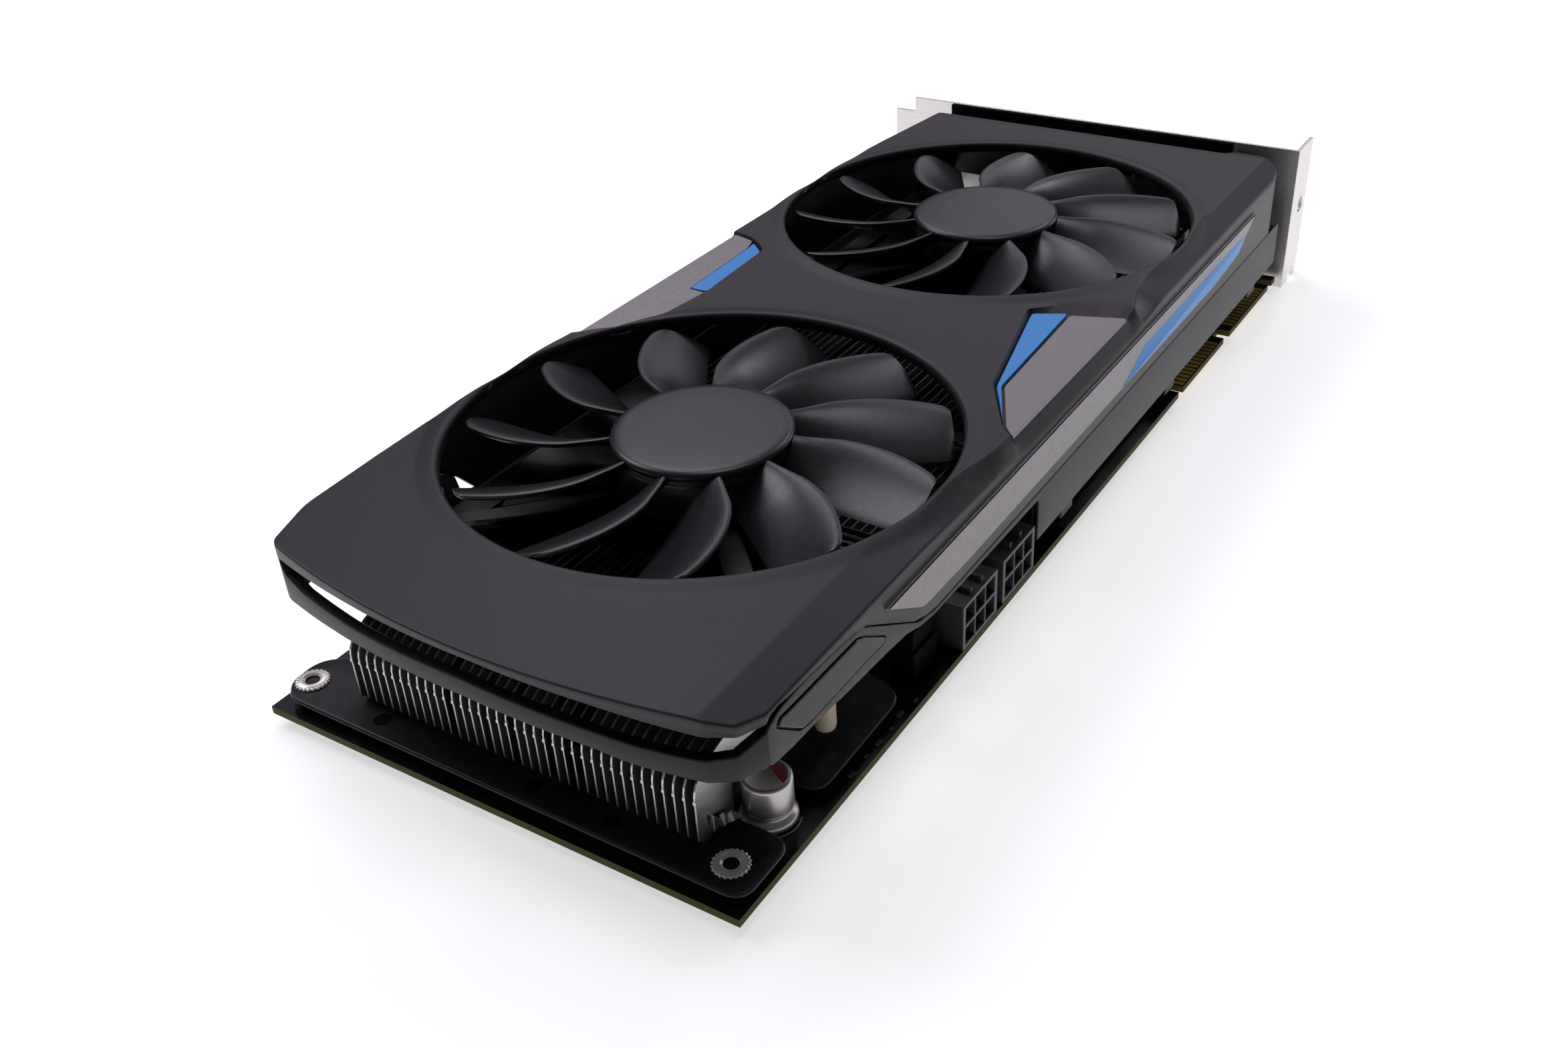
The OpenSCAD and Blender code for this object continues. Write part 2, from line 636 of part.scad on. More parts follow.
// The bowed band across the open end with its corner post, and a skirt along each side.
module lower_frame() {
  card() color(charcoal) union() {
    translate([0, 0, band_low]) linear_extrude(band_top - band_low) difference() {
      end_plan(0);
      end_plan(wall);
      translate([band_end, -1]) square([60, 120]);
    }
    translate([0, 0, band_top]) linear_extrude(frame_split - band_top) difference() {
      end_plan(0);
      end_plan(wall);
      translate([-5, -5]) square([70, 100.6]);
      translate([band_end, 90]) square([60, 20]);
    }
    slot_skirt();
    side_prism([[band_end, 21.8], [30, 20.9], [49, 20.3], [57, 17.2], [63, 16.2], [106.7, 15.2],
      [106.7, skirt_low], [260, skirt_low], [260, skirt_top], [63, skirt_top], [57, 18.5], [38, 29.9],
      [22, 31.3], [band_end, 31.3]], 0.2, wall);
    side_prism([[band_end - 1, band_low], [band_end - 1, 21.8], [band_end + 2, 21.7],
      [band_end + 2, band_low]], 0.2, wall);
    for (x = [120, 180, 240]) block([x, 0.2, plate_top], [x + 6, 5, 6.1]);
    for (x = post_x) block([x - 2.5, wall - 0.5, post_low(x) - 1.6], [x + 2.5, post_y + 2.4, post_low(x)]);
  }
}

// A black foam strip that closes the gap between the shroud's far end and the bracket.
module end_gasket() {
  card() color(near_black) block([shroud_end, corner_y + 0.8, 28], [bracket_in, 100, 34.7]);
}

module shroud_screws() {
  card() color([0.2, 0.2, 0.21]) {
    for (x = [120, 180, 240]) rod(x + 3, 3.5, 6.1, 7.3, 1.4);
    for (x = post_x) rod(x, post_y, post_low(x) - 2.8, post_low(x) - 1.6, 1.7);
  }
}

module side_insert() {
  card() color(near_black)
    side_prism([[13.4, 28], [15.7, 29.2], [38.2, 27.6], [45, 22.3], [19.9, 23.7]], -0.3, 0.2);
}

module side_strip() {
  card() color(strip_grey)
    side_prism([[45.3, 28.6], [58.2, 20.9], [74, 20.4], [205, 20.4], [223, 22], [234.5, 28.8]], -0.6, 0);
}

module side_strip_accent() {
  card() color(accent_blue)
    side_prism([[147.5, 20.5], [159, 25.5], [223, 25.9], [228.5, 25.3], [222.6, 21.9], [206, 20.5]],
      -0.9, -0.6);
}

module badge_plate() {
  card() color([0.42, 0.4, 0.42]) translate([0, 0, shroud_top - 1.2]) linear_extrude(0.8)
    polygon([[96.8, 1.6], [99.8, 4.6], [114.4, 12], [150.2, 13.4], [154.4, 1.6]]);
}

module badge_accent() {
  card() color(accent_blue) translate([0, 0, shroud_top - 1.2]) linear_extrude(0.9)
    polygon([[99.2, 4.6], [114, 13.2], [147.2, 20.8], [150.4, 13.8], [114.4, 12.2]]);
}

module slot_side_strip() {
  card() color(strip_grey) translate([0, 0, shroud_top - 1.2]) linear_extrude(0.8)
    polygon([[94.5, 103.4], [99.6, 97], [109.2, 91.9], [125, 90.1], [125, 95], [150, 96], [154.5, 97.2],
      [156, 103.4]]);
}

module slot_side_accent() {
  card() color(accent_blue) translate([0, 0, shroud_top - 1.2]) linear_extrude(0.9)
    polygon([[125, 90.1], [149.6, 91.5], [153.6, 96.4], [150, 96], [125, 95]]);
}

// ---------- fans ----------

blade_rings = 8;
blade_steps = 6;
blade_t = 1.1;
blade_root = hub_r - 0.7;

// Leading edge angle, chord angle and height over the blade, from root (0) to tip (1).
function blade_r(s) = blade_root + (tip_r - blade_root) * s;
function lead_angle(s) = -16 * pow(s, 1.9);
function chord_angle(s) = 23 - 2.5 * s;
function blade_height(s, c) = blade_z - blade_drop * (0.55 * c + 0.45 * c * c) * (1 - 0.12 * s);
function blade_point(s, c, dz) = let (a = lead_angle(s) - chord_angle(s) * c)
  [blade_r(s) * cos(a), blade_r(s) * sin(a), blade_height(s, c) + dz];
function edge_taper(c) = 0.35 + 0.65 * sin(180 * min(max(c, 0.04), 0.96));

// One blade: an upper and a lower skin over the same grid, closed round the edge.
module blade() {
  n = blade_steps + 1;
  m = blade_rings + 1;
  upper = [for (i = [0 : blade_rings], j = [0 : blade_steps])
    blade_point(i / blade_rings, j / blade_steps, 0)];
  lower = [for (i = [0 : blade_rings], j = [0 : blade_steps])
    blade_point(i / blade_rings, j / blade_steps, -blade_t * edge_taper(j / blade_steps))];
  size = n * m;
  top_faces = [for (i = [0 : m - 2], j = [0 : n - 2], k = [0, 1])
    let (a = i * n + j, b = a + 1, c = a + n + 1, d = a + n)
    k == 0 ? [c, b, a] : [d, c, a]];
  low_faces = [for (f = top_faces) [f[2] + size, f[1] + size, f[0] + size]];
  loop = concat([for (j = [0 : n - 1]) j], [for (i = [1 : m - 1]) i * n + n - 1],
    [for (j = [n - 2 : -1 : 0]) (m - 1) * n + j], [for (i = [m - 2 : -1 : 1]) i * n]);
  rim = [for (q = [0 : len(loop) - 1], k = [0, 1]) let (a = loop[q], b = loop[(q + 1) % len(loop)])
    k == 0 ? [a + size, a, b] : [b + size, a + size, b]];
  polyhedron(concat(upper, lower), concat(top_faces, low_faces, rim));
}

cup_in = hub_r - 1.45;
cup_low = 24;
boss_low = 31.6;

module rotor(x) {
  card() color(charcoal) translate([x, fan_y, 0]) union() {
    difference() {
      rotate_extrude($fn = 96) polygon([[0, boss_low], [3, boss_low], [3, 33.2], [cup_in, 33.2],
        [cup_in, cup_low],
        [hub_r, cup_low], [hub_r, 34.1], [hub_r - 0.7, hub_top], [0, hub_top]]);
      translate([0, 0, boss_low - 1]) cylinder(h = 1 + 33.6 - boss_low, r = shaft_r);
    }
    for (i = [0 : blades - 1]) rotate([0, 0, 32.7 - 3 + i * 360 / blades]) blade();
  }
}

module magnet_ring(x) {
  card() color([0.3, 0.29, 0.28]) translate([x, fan_y, 0]) ring(cup_low + 0.4, 32.4, cup_in - 1.8, cup_in);
}

module shaft(x) {
  card() color([0.75, 0.75, 0.77]) translate([x, fan_y, 0]) rod(0, 0, 23.2, 33.6, shaft_r);
}

bearing_r = 3.4;
tube_r = 4.6;

module bearings(x) {
  card() color([0.7, 0.7, 0.72]) translate([x, fan_y, 0]) {
    ring(23.4, 26, shaft_r + shaft_gap, bearing_r);
    ring(28.6, 31.2, shaft_r + shaft_gap, bearing_r);
  }
}

stator_r = cup_in - 2.3;

module stator(x) {
  card() color([0.65, 0.38, 0.2]) translate([x, fan_y, 0]) difference() {
    union() {
      ring(25, 31, tube_r, 7);
      for (i = [0 : 8]) rotate([0, 0, 40 * i]) {
        block([6.5, -1.2, 26], [stator_r - 1, 1.2, 30]);
        block([8, -2, 25.4], [11, 2, 30.6]);
      }
      difference() {
        ring(26, 30, stator_r - 1.2, stator_r);
        for (i = [0 : 8]) rotate([0, 0, 40 * i + 20]) block([5, -0.6, 20], [20, 0.6, 40]);
      }
    }
    translate([0, 0, 20]) cylinder(h = 20, r = tube_r);
  }
}

module fan_frame(x) {
  card() color(near_black) translate([x, fan_y, 0]) difference() {
    union() {
      translate([0, 0, arm_z]) cylinder(h = arm_t, r = cup_in + 1);
      translate([0, 0, arm_z]) cylinder(h = 31.2 - arm_z, r = tube_r);
      for (a = lug_angles) rotate([0, 0, a]) {
        block([10, -2.6, arm_z], [50.6, 2.6, arm_z + arm_t]);
        translate([50.6, 0, arm_z]) cylinder(h = arm_t, r = 2.1);
      }
    }
    translate([0, 0, arm_z + 1]) cylinder(h = 20, r = bearing_r);
    for (a = lug_angles) rotate([0, 0, a]) translate([50.6, 0, 10]) cylinder(h = 20, r = 1);
  }
}

module fan_screws(x) {
  card() color([0.3, 0.3, 0.31]) translate([x, fan_y, 0]) for (a = lug_angles) rotate([0, 0, a])
    translate([50.6, 0, arm_z]) {
      cylinder(h = arm_t, r = 1);
      translate([0, 0, arm_t]) cylinder(h = 1, r = 1.9);
    }
}

module fan_1_rotor() rotor(fan_1_x);
module fan_1_magnet_ring() magnet_ring(fan_1_x);
module fan_1_shaft() shaft(fan_1_x);
module fan_1_bearings() bearings(fan_1_x);
module fan_1_stator() stator(fan_1_x);
module fan_1_frame() fan_frame(fan_1_x);
module fan_1_screws() fan_screws(fan_1_x);
module fan_2_rotor() rotor(fan_2_x);
module fan_2_magnet_ring() magnet_ring(fan_2_x);
module fan_2_shaft() shaft(fan_2_x);
module fan_2_bearings() bearings(fan_2_x);
module fan_2_stator() stator(fan_2_x);
module fan_2_frame() fan_frame(fan_2_x);
module fan_2_screws() fan_screws(fan_2_x);

pcb();
slot_contacts();
bridge_contacts();
io_bracket();
dvi_socket_lower();
dvi_socket_upper();
hdmi_socket();
display_port_socket();
dvi_jack_screws();
bracket_screws();
gpu_package();
gpu_die();
memory_chips();
controller_chips();
power_chokes();
mosfets();
solid_capacitors();
can_capacitor();
power_socket_a();
power_socket_b();
power_pins();
fan_header();
fan_plug();
fan_leads();
baseplate();
threaded_inserts();
baseplate_screws();
thermal_pads();
cold_plate();
heat_pipes();
fin_base();
fin_stack();
cooler_springs();
cooler_screws();
shroud();
lower_frame();
end_gasket();
shroud_screws();
side_insert();
side_strip();
side_strip_accent();
badge_plate();
badge_accent();
slot_side_strip();
slot_side_accent();
fan_1_rotor();
fan_1_magnet_ring();
fan_1_shaft();
fan_1_bearings();
fan_1_stator();
fan_1_frame();
fan_1_screws();
fan_2_rotor();
fan_2_magnet_ring();
fan_2_shaft();
fan_2_bearings();
fan_2_stator();
fan_2_frame();
fan_2_screws();
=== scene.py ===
"""Looks of the graphics card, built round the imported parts."""
import json
import math

import bpy
import mathutils.geometry
import numpy as np
from mathutils import Matrix, Vector


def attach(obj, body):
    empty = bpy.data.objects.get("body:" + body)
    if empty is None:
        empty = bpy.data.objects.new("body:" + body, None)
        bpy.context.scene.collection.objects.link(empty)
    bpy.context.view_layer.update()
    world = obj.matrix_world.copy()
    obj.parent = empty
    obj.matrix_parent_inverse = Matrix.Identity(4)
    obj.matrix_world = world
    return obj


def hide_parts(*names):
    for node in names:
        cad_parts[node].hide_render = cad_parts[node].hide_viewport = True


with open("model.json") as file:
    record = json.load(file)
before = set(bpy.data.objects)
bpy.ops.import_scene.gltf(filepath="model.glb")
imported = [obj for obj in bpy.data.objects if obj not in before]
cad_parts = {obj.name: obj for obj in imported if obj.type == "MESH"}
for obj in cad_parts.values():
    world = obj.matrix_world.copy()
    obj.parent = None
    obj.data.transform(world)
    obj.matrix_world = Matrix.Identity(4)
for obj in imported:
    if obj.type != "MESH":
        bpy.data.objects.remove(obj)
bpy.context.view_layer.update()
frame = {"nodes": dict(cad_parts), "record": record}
nodes = frame["nodes"]

# ---------- materials ----------


ROUGH_WANDER = 0.06
BUMP_HEIGHT = 0.00008


def material(name, color, rough, metal=0.0, vary=0.12, scale=900.0, bump=0.0, grain=2500.0,
             stretch=(1, 1, 1), specular=0.5):
    """A surface whose shade and roughness wander a little, with a fine grain on top."""
    m = bpy.data.materials.new(name)
    m.use_nodes = True
    nt = m.node_tree
    b = nt.nodes["Principled BSDF"]
    b.inputs["Metallic"].default_value = metal
    b.inputs["Specular IOR Level"].default_value = specular
    where = nt.nodes.new("ShaderNodeTexCoord")
    fit = nt.nodes.new("ShaderNodeMapping")
    fit.inputs["Scale"].default_value = stretch
    nt.links.new(where.outputs["Object"], fit.inputs["Vector"])
    cloud = nt.nodes.new("ShaderNodeTexNoise")
    cloud.inputs["Scale"].default_value = scale
    cloud.inputs["Detail"].default_value = 4.0
    nt.links.new(fit.outputs["Vector"], cloud.inputs["Vector"])
    shade = nt.nodes.new("ShaderNodeValToRGB")
    low = [c * (1 - vary) for c in color]
    high = [min(1.0, c * (1 + vary)) for c in color]
    shade.color_ramp.elements[0].position = 0.3
    shade.color_ramp.elements[1].position = 0.7
    shade.color_ramp.elements[0].color = (*low, 1)
    shade.color_ramp.elements[1].color = (*high, 1)
    nt.links.new(cloud.outputs["Fac"], shade.inputs["Fac"])
    nt.links.new(shade.outputs["Color"], b.inputs["Base Color"])
    span = nt.nodes.new("ShaderNodeMapRange")
    span.inputs["To Min"].default_value = max(0.02, rough - ROUGH_WANDER)
    span.inputs["To Max"].default_value = min(1.0, rough + ROUGH_WANDER)
    nt.links.new(cloud.outputs["Fac"], span.inputs["Value"])
    nt.links.new(span.outputs["Result"], b.inputs["Roughness"])
    if bump:
        fine = nt.nodes.new("ShaderNodeTexNoise")
        fine.inputs["Scale"].default_value = grain
        fine.inputs["Detail"].default_value = 2.0
        nt.links.new(fit.outputs["Vector"], fine.inputs["Vector"])
        lift = nt.nodes.new("ShaderNodeBump")
        lift.inputs["Strength"].default_value = bump
        lift.inputs["Distance"].default_value = BUMP_HEIGHT
        nt.links.new(fine.outputs["Fac"], lift.inputs["Height"])
        nt.links.new(lift.outputs["Normal"], b.inputs["Normal"])
    return m


FINISH = {
    "board_black": dict(color=(0.004, 0.004, 0.006), rough=0.25, scale=250, vary=0.3, bump=0.1,
                        specular=0.25),
    "gold_contact": dict(color=(0.7, 0.48, 0.1), rough=0.34, metal=0.35, vary=0.15),
    "bracket_steel": dict(color=(0.74, 0.72, 0.7), rough=0.34, metal=1.0, bump=0.2, stretch=(1, 1, 8)),
    "socket_metal": dict(color=(0.6, 0.59, 0.57), rough=0.28, metal=1.0),
    "screw_black": dict(color=(0.03, 0.03, 0.032), rough=0.4, metal=0.6),
    "substrate_green": dict(color=(0.015, 0.06, 0.03), rough=0.35),
    "silicon": dict(color=(0.2, 0.2, 0.23), rough=0.08, metal=0.9),
    "chip_black": dict(color=(0.012, 0.012, 0.013), rough=0.5, bump=0.2),
    "choke_grey": dict(color=(0.06, 0.06, 0.065), rough=0.6, bump=0.5),
    "can_silver": dict(color=(0.62, 0.6, 0.58), rough=0.36, metal=0.85, vary=0.05),
    "connector_black": dict(color=(0.042, 0.04, 0.045), rough=0.4, bump=0.2),
    "pin_tin": dict(color=(0.7, 0.66, 0.5), rough=0.3, metal=1.0),
    "foam_black": dict(color=(0.004, 0.004, 0.004), rough=0.9, bump=0.5, specular=0.1),
    "lead_black": dict(color=(0.012, 0.012, 0.013), rough=0.45),
    "plate_black": dict(color=(0.022, 0.02, 0.023), rough=0.34, scale=400, bump=0.2, specular=0.2),
    "insert_steel": dict(color=(0.95, 0.92, 0.86), rough=0.3, metal=0.3, vary=0.05),
    "pad_grey": dict(color=(0.2, 0.24, 0.28), rough=0.8),
    "copper_plate": dict(color=(0.6, 0.27, 0.14), rough=0.3, metal=1.0),
    "pipe_nickel": dict(color=(0.5, 0.48, 0.46), rough=0.3, metal=1.0),
    "fin_aluminium": dict(color=(0.56, 0.55, 0.54), rough=0.34, metal=1.0, stretch=(1, 1, 6), vary=0.1),
    "spring_steel": dict(color=(0.5, 0.5, 0.5), rough=0.3, metal=1.0),
    "moulding_charcoal": dict(color=(0.019, 0.0175, 0.02), rough=0.42, specular=0.32, bump=0.35,
                              grain=5200, vary=0.06),
    "gloss_black": dict(color=(0.009, 0.0085, 0.01), rough=0.14, specular=0.26),
    "silver_trim": dict(color=(0.275, 0.258, 0.268), rough=0.38, metal=0.3, bump=0.1),
    "blue_accent": dict(color=(0.03, 0.3, 0.82), rough=0.4, vary=0.05, bump=0.1),
    "badge_grey": dict(color=(0.26, 0.24, 0.255), rough=0.4, metal=0.4, stretch=(1, 6, 1)),
    "fan_charcoal": dict(color=(0.016, 0.0149, 0.0176), rough=0.3, specular=0.4, bump=0.2,
                         grain=4200, vary=0.06),
    "frame_black": dict(color=(0.01, 0.01, 0.011), rough=0.5, bump=0.2),
    "magnet_dark": dict(color=(0.06, 0.06, 0.065), rough=0.6, metal=0.5),
    "shaft_steel": dict(color=(0.6, 0.6, 0.62), rough=0.2, metal=1.0),
    "winding_copper": dict(color=(0.42, 0.17, 0.06), rough=0.35, metal=0.9, scale=3000),
}
paint = {slot: material(slot, **how) for slot, how in FINISH.items()}

# ---------- helpers, in card coordinates ----------

# Card coordinates are millimetres from the board's open, power-side corner, with Z 0 at the board's top.
SHIFT = Vector((-138.5, -58.75, 3.87))


def at(p):
    """A point in card coordinates, as metres in the shared frame."""
    return (Vector(p) + SHIFT) / 1000


def card_place(o, p):
    """A point on a node, in card coordinates."""
    return (o.matrix_world @ p) * 1000 - SHIFT


def piece(name, verts, faces, slot, stands_for=(), body="card", sharp=32, look=None):
    """A mesh that rides on a body and takes the finish of a slot, or a look of its own."""
    mesh = bpy.data.meshes.new(name)
    mesh.from_pydata([at(v) for v in verts], [], faces)
    mesh.validate()
    mesh.shade_smooth()
    mesh.set_sharp_from_angle(angle=math.radians(sharp))
    o = bpy.data.objects.new(name, mesh)
    bpy.context.scene.collection.objects.link(o)
    o.data.materials.append(look or paint[slot])
    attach(o, body)
    if stands_for:
        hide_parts(*stands_for)
    return o


def weld(o, reach):
    """Joins a piece's vertices that are closer than a reach in millimetres."""
    o.modifiers.new("weld", "WELD").merge_threshold = reach / 1000


def thicken(o, thickness):
    """Gives a sheet its thickness in millimetres, on its inner side."""
    thick = o.modifiers.new("thick", "SOLIDIFY")
    thick.thickness = thickness / 1000
    thick.offset = -1
    return thick


def soften(o, width):
    """Rounds a piece's hard edges."""
    weld(o, 0.002)
    flat = o.modifiers.new("flat", "DECIMATE")
    flat.decimate_type = "DISSOLVE"
    flat.angle_limit = math.radians(0.6)
    b = o.modifiers.new("bevel", "BEVEL")
    b.width = width / 1000
    b.segments = 2
    b.limit_method = "ANGLE"
    b.angle_limit = math.radians(30)
    b.harden_normals = True
    b.use_clamp_overlap = True


def soft_corners(points, radius, steps=4, closed=True):
    """The outline with every corner replaced by a small arc."""
    out = []
    count = len(points)
    for i, p in enumerate(points):
        if not closed and i in (0, count - 1):
            out.append(tuple(p))
            continue
        p = Vector(p)
        a = Vector(points[i - 1]) - p
        b = Vector(points[(i + 1) % count]) - p
        r = min(radius, 0.45 * a.length, 0.45 * b.length)
        a.normalize()
        b.normalize()
        if a.angle(b) > math.radians(174):
            out.append(tuple(p))
            continue
        for k in range(steps + 1):
            t = k / steps
            out.append(tuple(p + a * r * (1 - t) ** 2 + b * r * t ** 2))
    return out


def thinned(points, gap):
    """The outline with points closer than a gap to the last one left out."""
    out = [points[0]]
    for p in points[1:]:
        if math.dist(p, out[-1]) > gap:
            out.append(p)
    if math.dist(out[0], out[-1]) < gap:
        out.pop()
    return out


def refined(points, longest, closed=True):
    """The outline with extra points so that none of its pieces is longer than asked."""
    out = []
    count = len(points)
    for i in range(count if closed else count - 1):
        a, b = Vector(points[i]), Vector(points[(i + 1) % count])
        n = max(1, math.ceil((b - a).length / longest))
        out += [tuple(a.lerp(b, k / n)) for k in range(n)]
    if not closed:
        out.append(tuple(points[-1]))
    return out


def inset(points, d):
    """A closed outline, drawn anticlockwise, moved inwards by d."""
    out = []
    count = len(points)
    for i in range(count):
        a, p, b = (Vector(points[j % count]) for j in (i - 1, i, i + 1))
        u, v = (p - a).normalized(), (b - p).normalized()
        n = Vector((-u.y - v.y, u.x + v.x))
        n = n / max(0.3, n.dot(Vector((-u.y, u.x))))
        out.append(tuple(p + n * d))
    return out


def upright(points):
    """The outline turned anticlockwise if it runs the other way."""
    area = sum(a[0] * b[1] - b[0] * a[1] for a, b in zip(points, points[1:] + points[:1]))
    return points if area > 0 else points[::-1]


def shrunk(points, share):
    """A closed outline drawn in toward its middle."""
    middle = sum((Vector(p) for p in points), Vector((0, 0))) / len(points)
    return [tuple(middle.lerp(Vector(p), share)) for p in points]


def inside(points, x, y):
    """True where (x, y) is inside a closed outline. x and y are arrays."""
    hit = np.zeros(x.shape, bool)
    count = len(points)
    for i in range(count):
        (xa, ya), (xb, yb) = points[i], points[(i + 1) % count]
        crosses = (ya > y) != (yb > y)
        if ya != yb:
            hit ^= crosses & (x < (xb - xa) * (y - ya) / (yb - ya) + xa)
    return hit


def distance(points, x, y, closed=True):
    """Distance of (x, y) to an outline. x and y are arrays."""
    best = np.full(x.shape, 1e9)
    count = len(points)
    for i in range(count if closed else count - 1):
        (xa, ya), (xb, yb) = points[i], points[(i + 1) % count]
        dx, dy = xb - xa, yb - ya
        t = np.clip(((x - xa) * dx + (y - ya) * dy) / max(1e-9, dx * dx + dy * dy), 0, 1)
        best = np.minimum(best, np.hypot(x - xa - t * dx, y - ya - t * dy))
    return best


def rounding(d, r):
    """How far an edge rounded to radius r falls away at distance d from it. d is an array."""
    return np.where(d < r, r - np.sqrt(np.maximum(0, r ** 2 - (r - d) ** 2)), 0)


def soft_ramp(v, r):
    """v where it is positive and 0 where it isn't, with a turn softened over r. v is an array."""
    return np.log1p(np.exp(np.clip(v / r, -40, 40))) * r


def graph(x, pairs):
    """A value read off a line through (x, value) pairs."""
    return np.interp(x, [p[0] for p in pairs], [p[1] for p in pairs])


def triangles(tri):
    """Faces as plain numbers, from an array of triangles."""
    return [tuple(int(i) for i in t) for t in tri]


def circle(cx, cy, r, n):
    """A round outline with n corners."""
    return [(cx + r * math.cos(math.tau * k / n), cy + r * math.sin(math.tau * k / n)) for k in range(n)]


def arc(centre, r, degrees):
    """Points round a centre, one for each angle."""
    turns = [math.radians(a) for a in degrees]
    return [(centre[0] + r * math.cos(a), centre[1] + r * math.sin(a)) for a in turns]


def capped(rows, n):
    """Faces of a closed skin over rows of n points each."""
    faces = []
    for i in range(rows - 1):
        for k in range(n):
            j = (k + 1) % n
            faces.append((i * n + k, i * n + j, (i + 1) * n + j, (i + 1) * n + k))
    faces.append(tuple(range(n - 1, -1, -1)))
    faces.append(tuple((rows - 1) * n + k for k in range(n)))
    return faces


def lathe(cx, cy, profile, n=64, waves=0, depth=0.0):
    """Vertices and faces of a turned shape round an upright axis; waves cut teeth into its rim."""
    verts, faces = [], []
    for r, z in profile:
        for k in range(n):
            a = math.tau * k / n
            rr = r + (depth * math.cos(waves * a) if waves and r > 1e-6 else 0)
            verts.append((cx + rr * math.cos(a), cy + rr * math.sin(a), z))
    for i in range(len(profile) - 1):
        for k in range(n):
            j = (k + 1) % n
            faces.append((i * n + k, (i + 1) * n + k, (i + 1) * n + j, i * n + j))
    return verts, faces


def tube(path, radius, n=10):
    """Vertices and faces of a round wire along a path."""
    pts = [Vector(p) for p in path]
    verts = []
    side = Vector((1, 0, 0))
    for i, p in enumerate(pts):
        d = (pts[min(i + 1, len(pts) - 1)] - pts[max(i - 1, 0)]).normalized()
        side = (side - d * side.dot(d)).normalized()
        other = d.cross(side)
        for k in range(n):
            a = math.tau * k / n
            verts.append(tuple(p + radius * (side * math.cos(a) + other * math.sin(a))))
    return verts, capped(len(pts), n)


def smooth_path(points, per=8):
    """A smooth curve through the points."""
    p = [Vector(points[0]), *map(Vector, points), Vector(points[-1])]
    out = []
    for i in range(1, len(p) - 2):
        for k in range(per):
            t = k / per
            out.append(0.5 * (2 * p[i] + (p[i + 1] - p[i - 1]) * t
                              + (2 * p[i - 1] - 5 * p[i] + 4 * p[i + 1] - p[i + 2]) * t * t
                              + (3 * p[i] - p[i - 1] - 3 * p[i + 1] + p[i + 2]) * t ** 3))
    out.append(p[-2])
    return out


def merged(parts):
    """Several (verts, faces) pairs as one."""
    verts, faces = [], []
    for v, f in parts:
        start = len(verts)
        verts += v
        faces += [tuple(i + start for i in face) for face in f]
    return verts, faces


def tile(outline, levels, place=lambda a, b, h: (a, b, h)):
    """A plate with stepped or bevelled edges. A level is how far the outline moves in, and a height."""
    verts = []
    for d, h in levels:
        loop = inset(outline, d) if d else outline
        verts += [place(a, b, h) for a, b in loop]
    return verts, capped(len(levels), len(outline))


def outward(a, b, h):
    """Puts a tile on the power side, with its height pointing away from the card."""
    return a, -h, b


def brick(low, high, c=0.15):
    """A block with chamfered edges."""
    (x0, y0, z0), (x1, y1, z1) = low, high
    c = min(c, 0.3 * min(x1 - x0, y1 - y0, z1 - z0))
    outline = [(x0, y0 + c), (x0 + c, y0), (x1 - c, y0), (x1, y0 + c), (x1, y1 - c), (x1 - c, y1),
               (x0 + c, y1), (x0, y1 - c)]
    return tile(outline, [(c, z0), (0, z0 + c), (0, z1 - c), (c, z1)])


def ribbon(path, tops, lows, depth):
    """A wall along a path in plan, with softened edges and its own top and bottom at each point."""
    softened = 0.45
    verts = []
    count = len(path)
    for i, p in enumerate(path):
        u = Vector(path[min(i + 1, count - 1)]) - Vector(path[max(i - 1, 0)])
        u.normalize()
        t, b = tops[i], lows[i]
        e = min(softened, 0.4 * (t - b))
        loop = [(0.9 * e + 0.3, t), (0.45 * e, t - 0.12 * e), (0.12 * e, t - 0.5 * e), (0, t - e),
                (0, b + e), (0.29 * e, b + 0.29 * e), (e, b), (depth - 0.2, b), (depth, b + 0.2),
                (depth, t - 0.2), (depth - 0.2, t)]
        verts += [(p[0] - u.y * d, p[1] + u.x * d, z) for d, z in loop]
    return verts, capped(count, len(loop))


# ---------- finishes of the CAD nodes ----------

slot_of = {s["node"]: s["material_slot"] for s in frame["record"]["subparts"]}
for node, o in nodes.items():
    o.data.materials.clear()
    o.data.materials.append(paint[slot_of[node]])

# ---------- shroud ----------

# Two fan openings with a raised lip, in a flat roof that falls toward the power side and the far end.
FANS = [(72.6, 54.4), (193.6, 54.4)]
OPENING = 49.3
OPENING_SIDES = 192
OPENING_FOOT = 32.3
FLAT = 34.3
LIP = 34.8
LIP_WIDTH = 4.6
LIP_SLOPE = 3.7
LIP_ROUND = 0.9
EDGE_ROUND = 0.45
FALL_START = 258.3
BOW_RADIUS = 190
BOW_CENTRE = (188.9, 47)
MOULDED = 1.7


def bow(y):
    """X of the bowed open end at a place across the card."""
    return BOW_CENTRE[0] - math.sqrt(BOW_RADIUS ** 2 - (y - BOW_CENTRE[1]) ** 2)


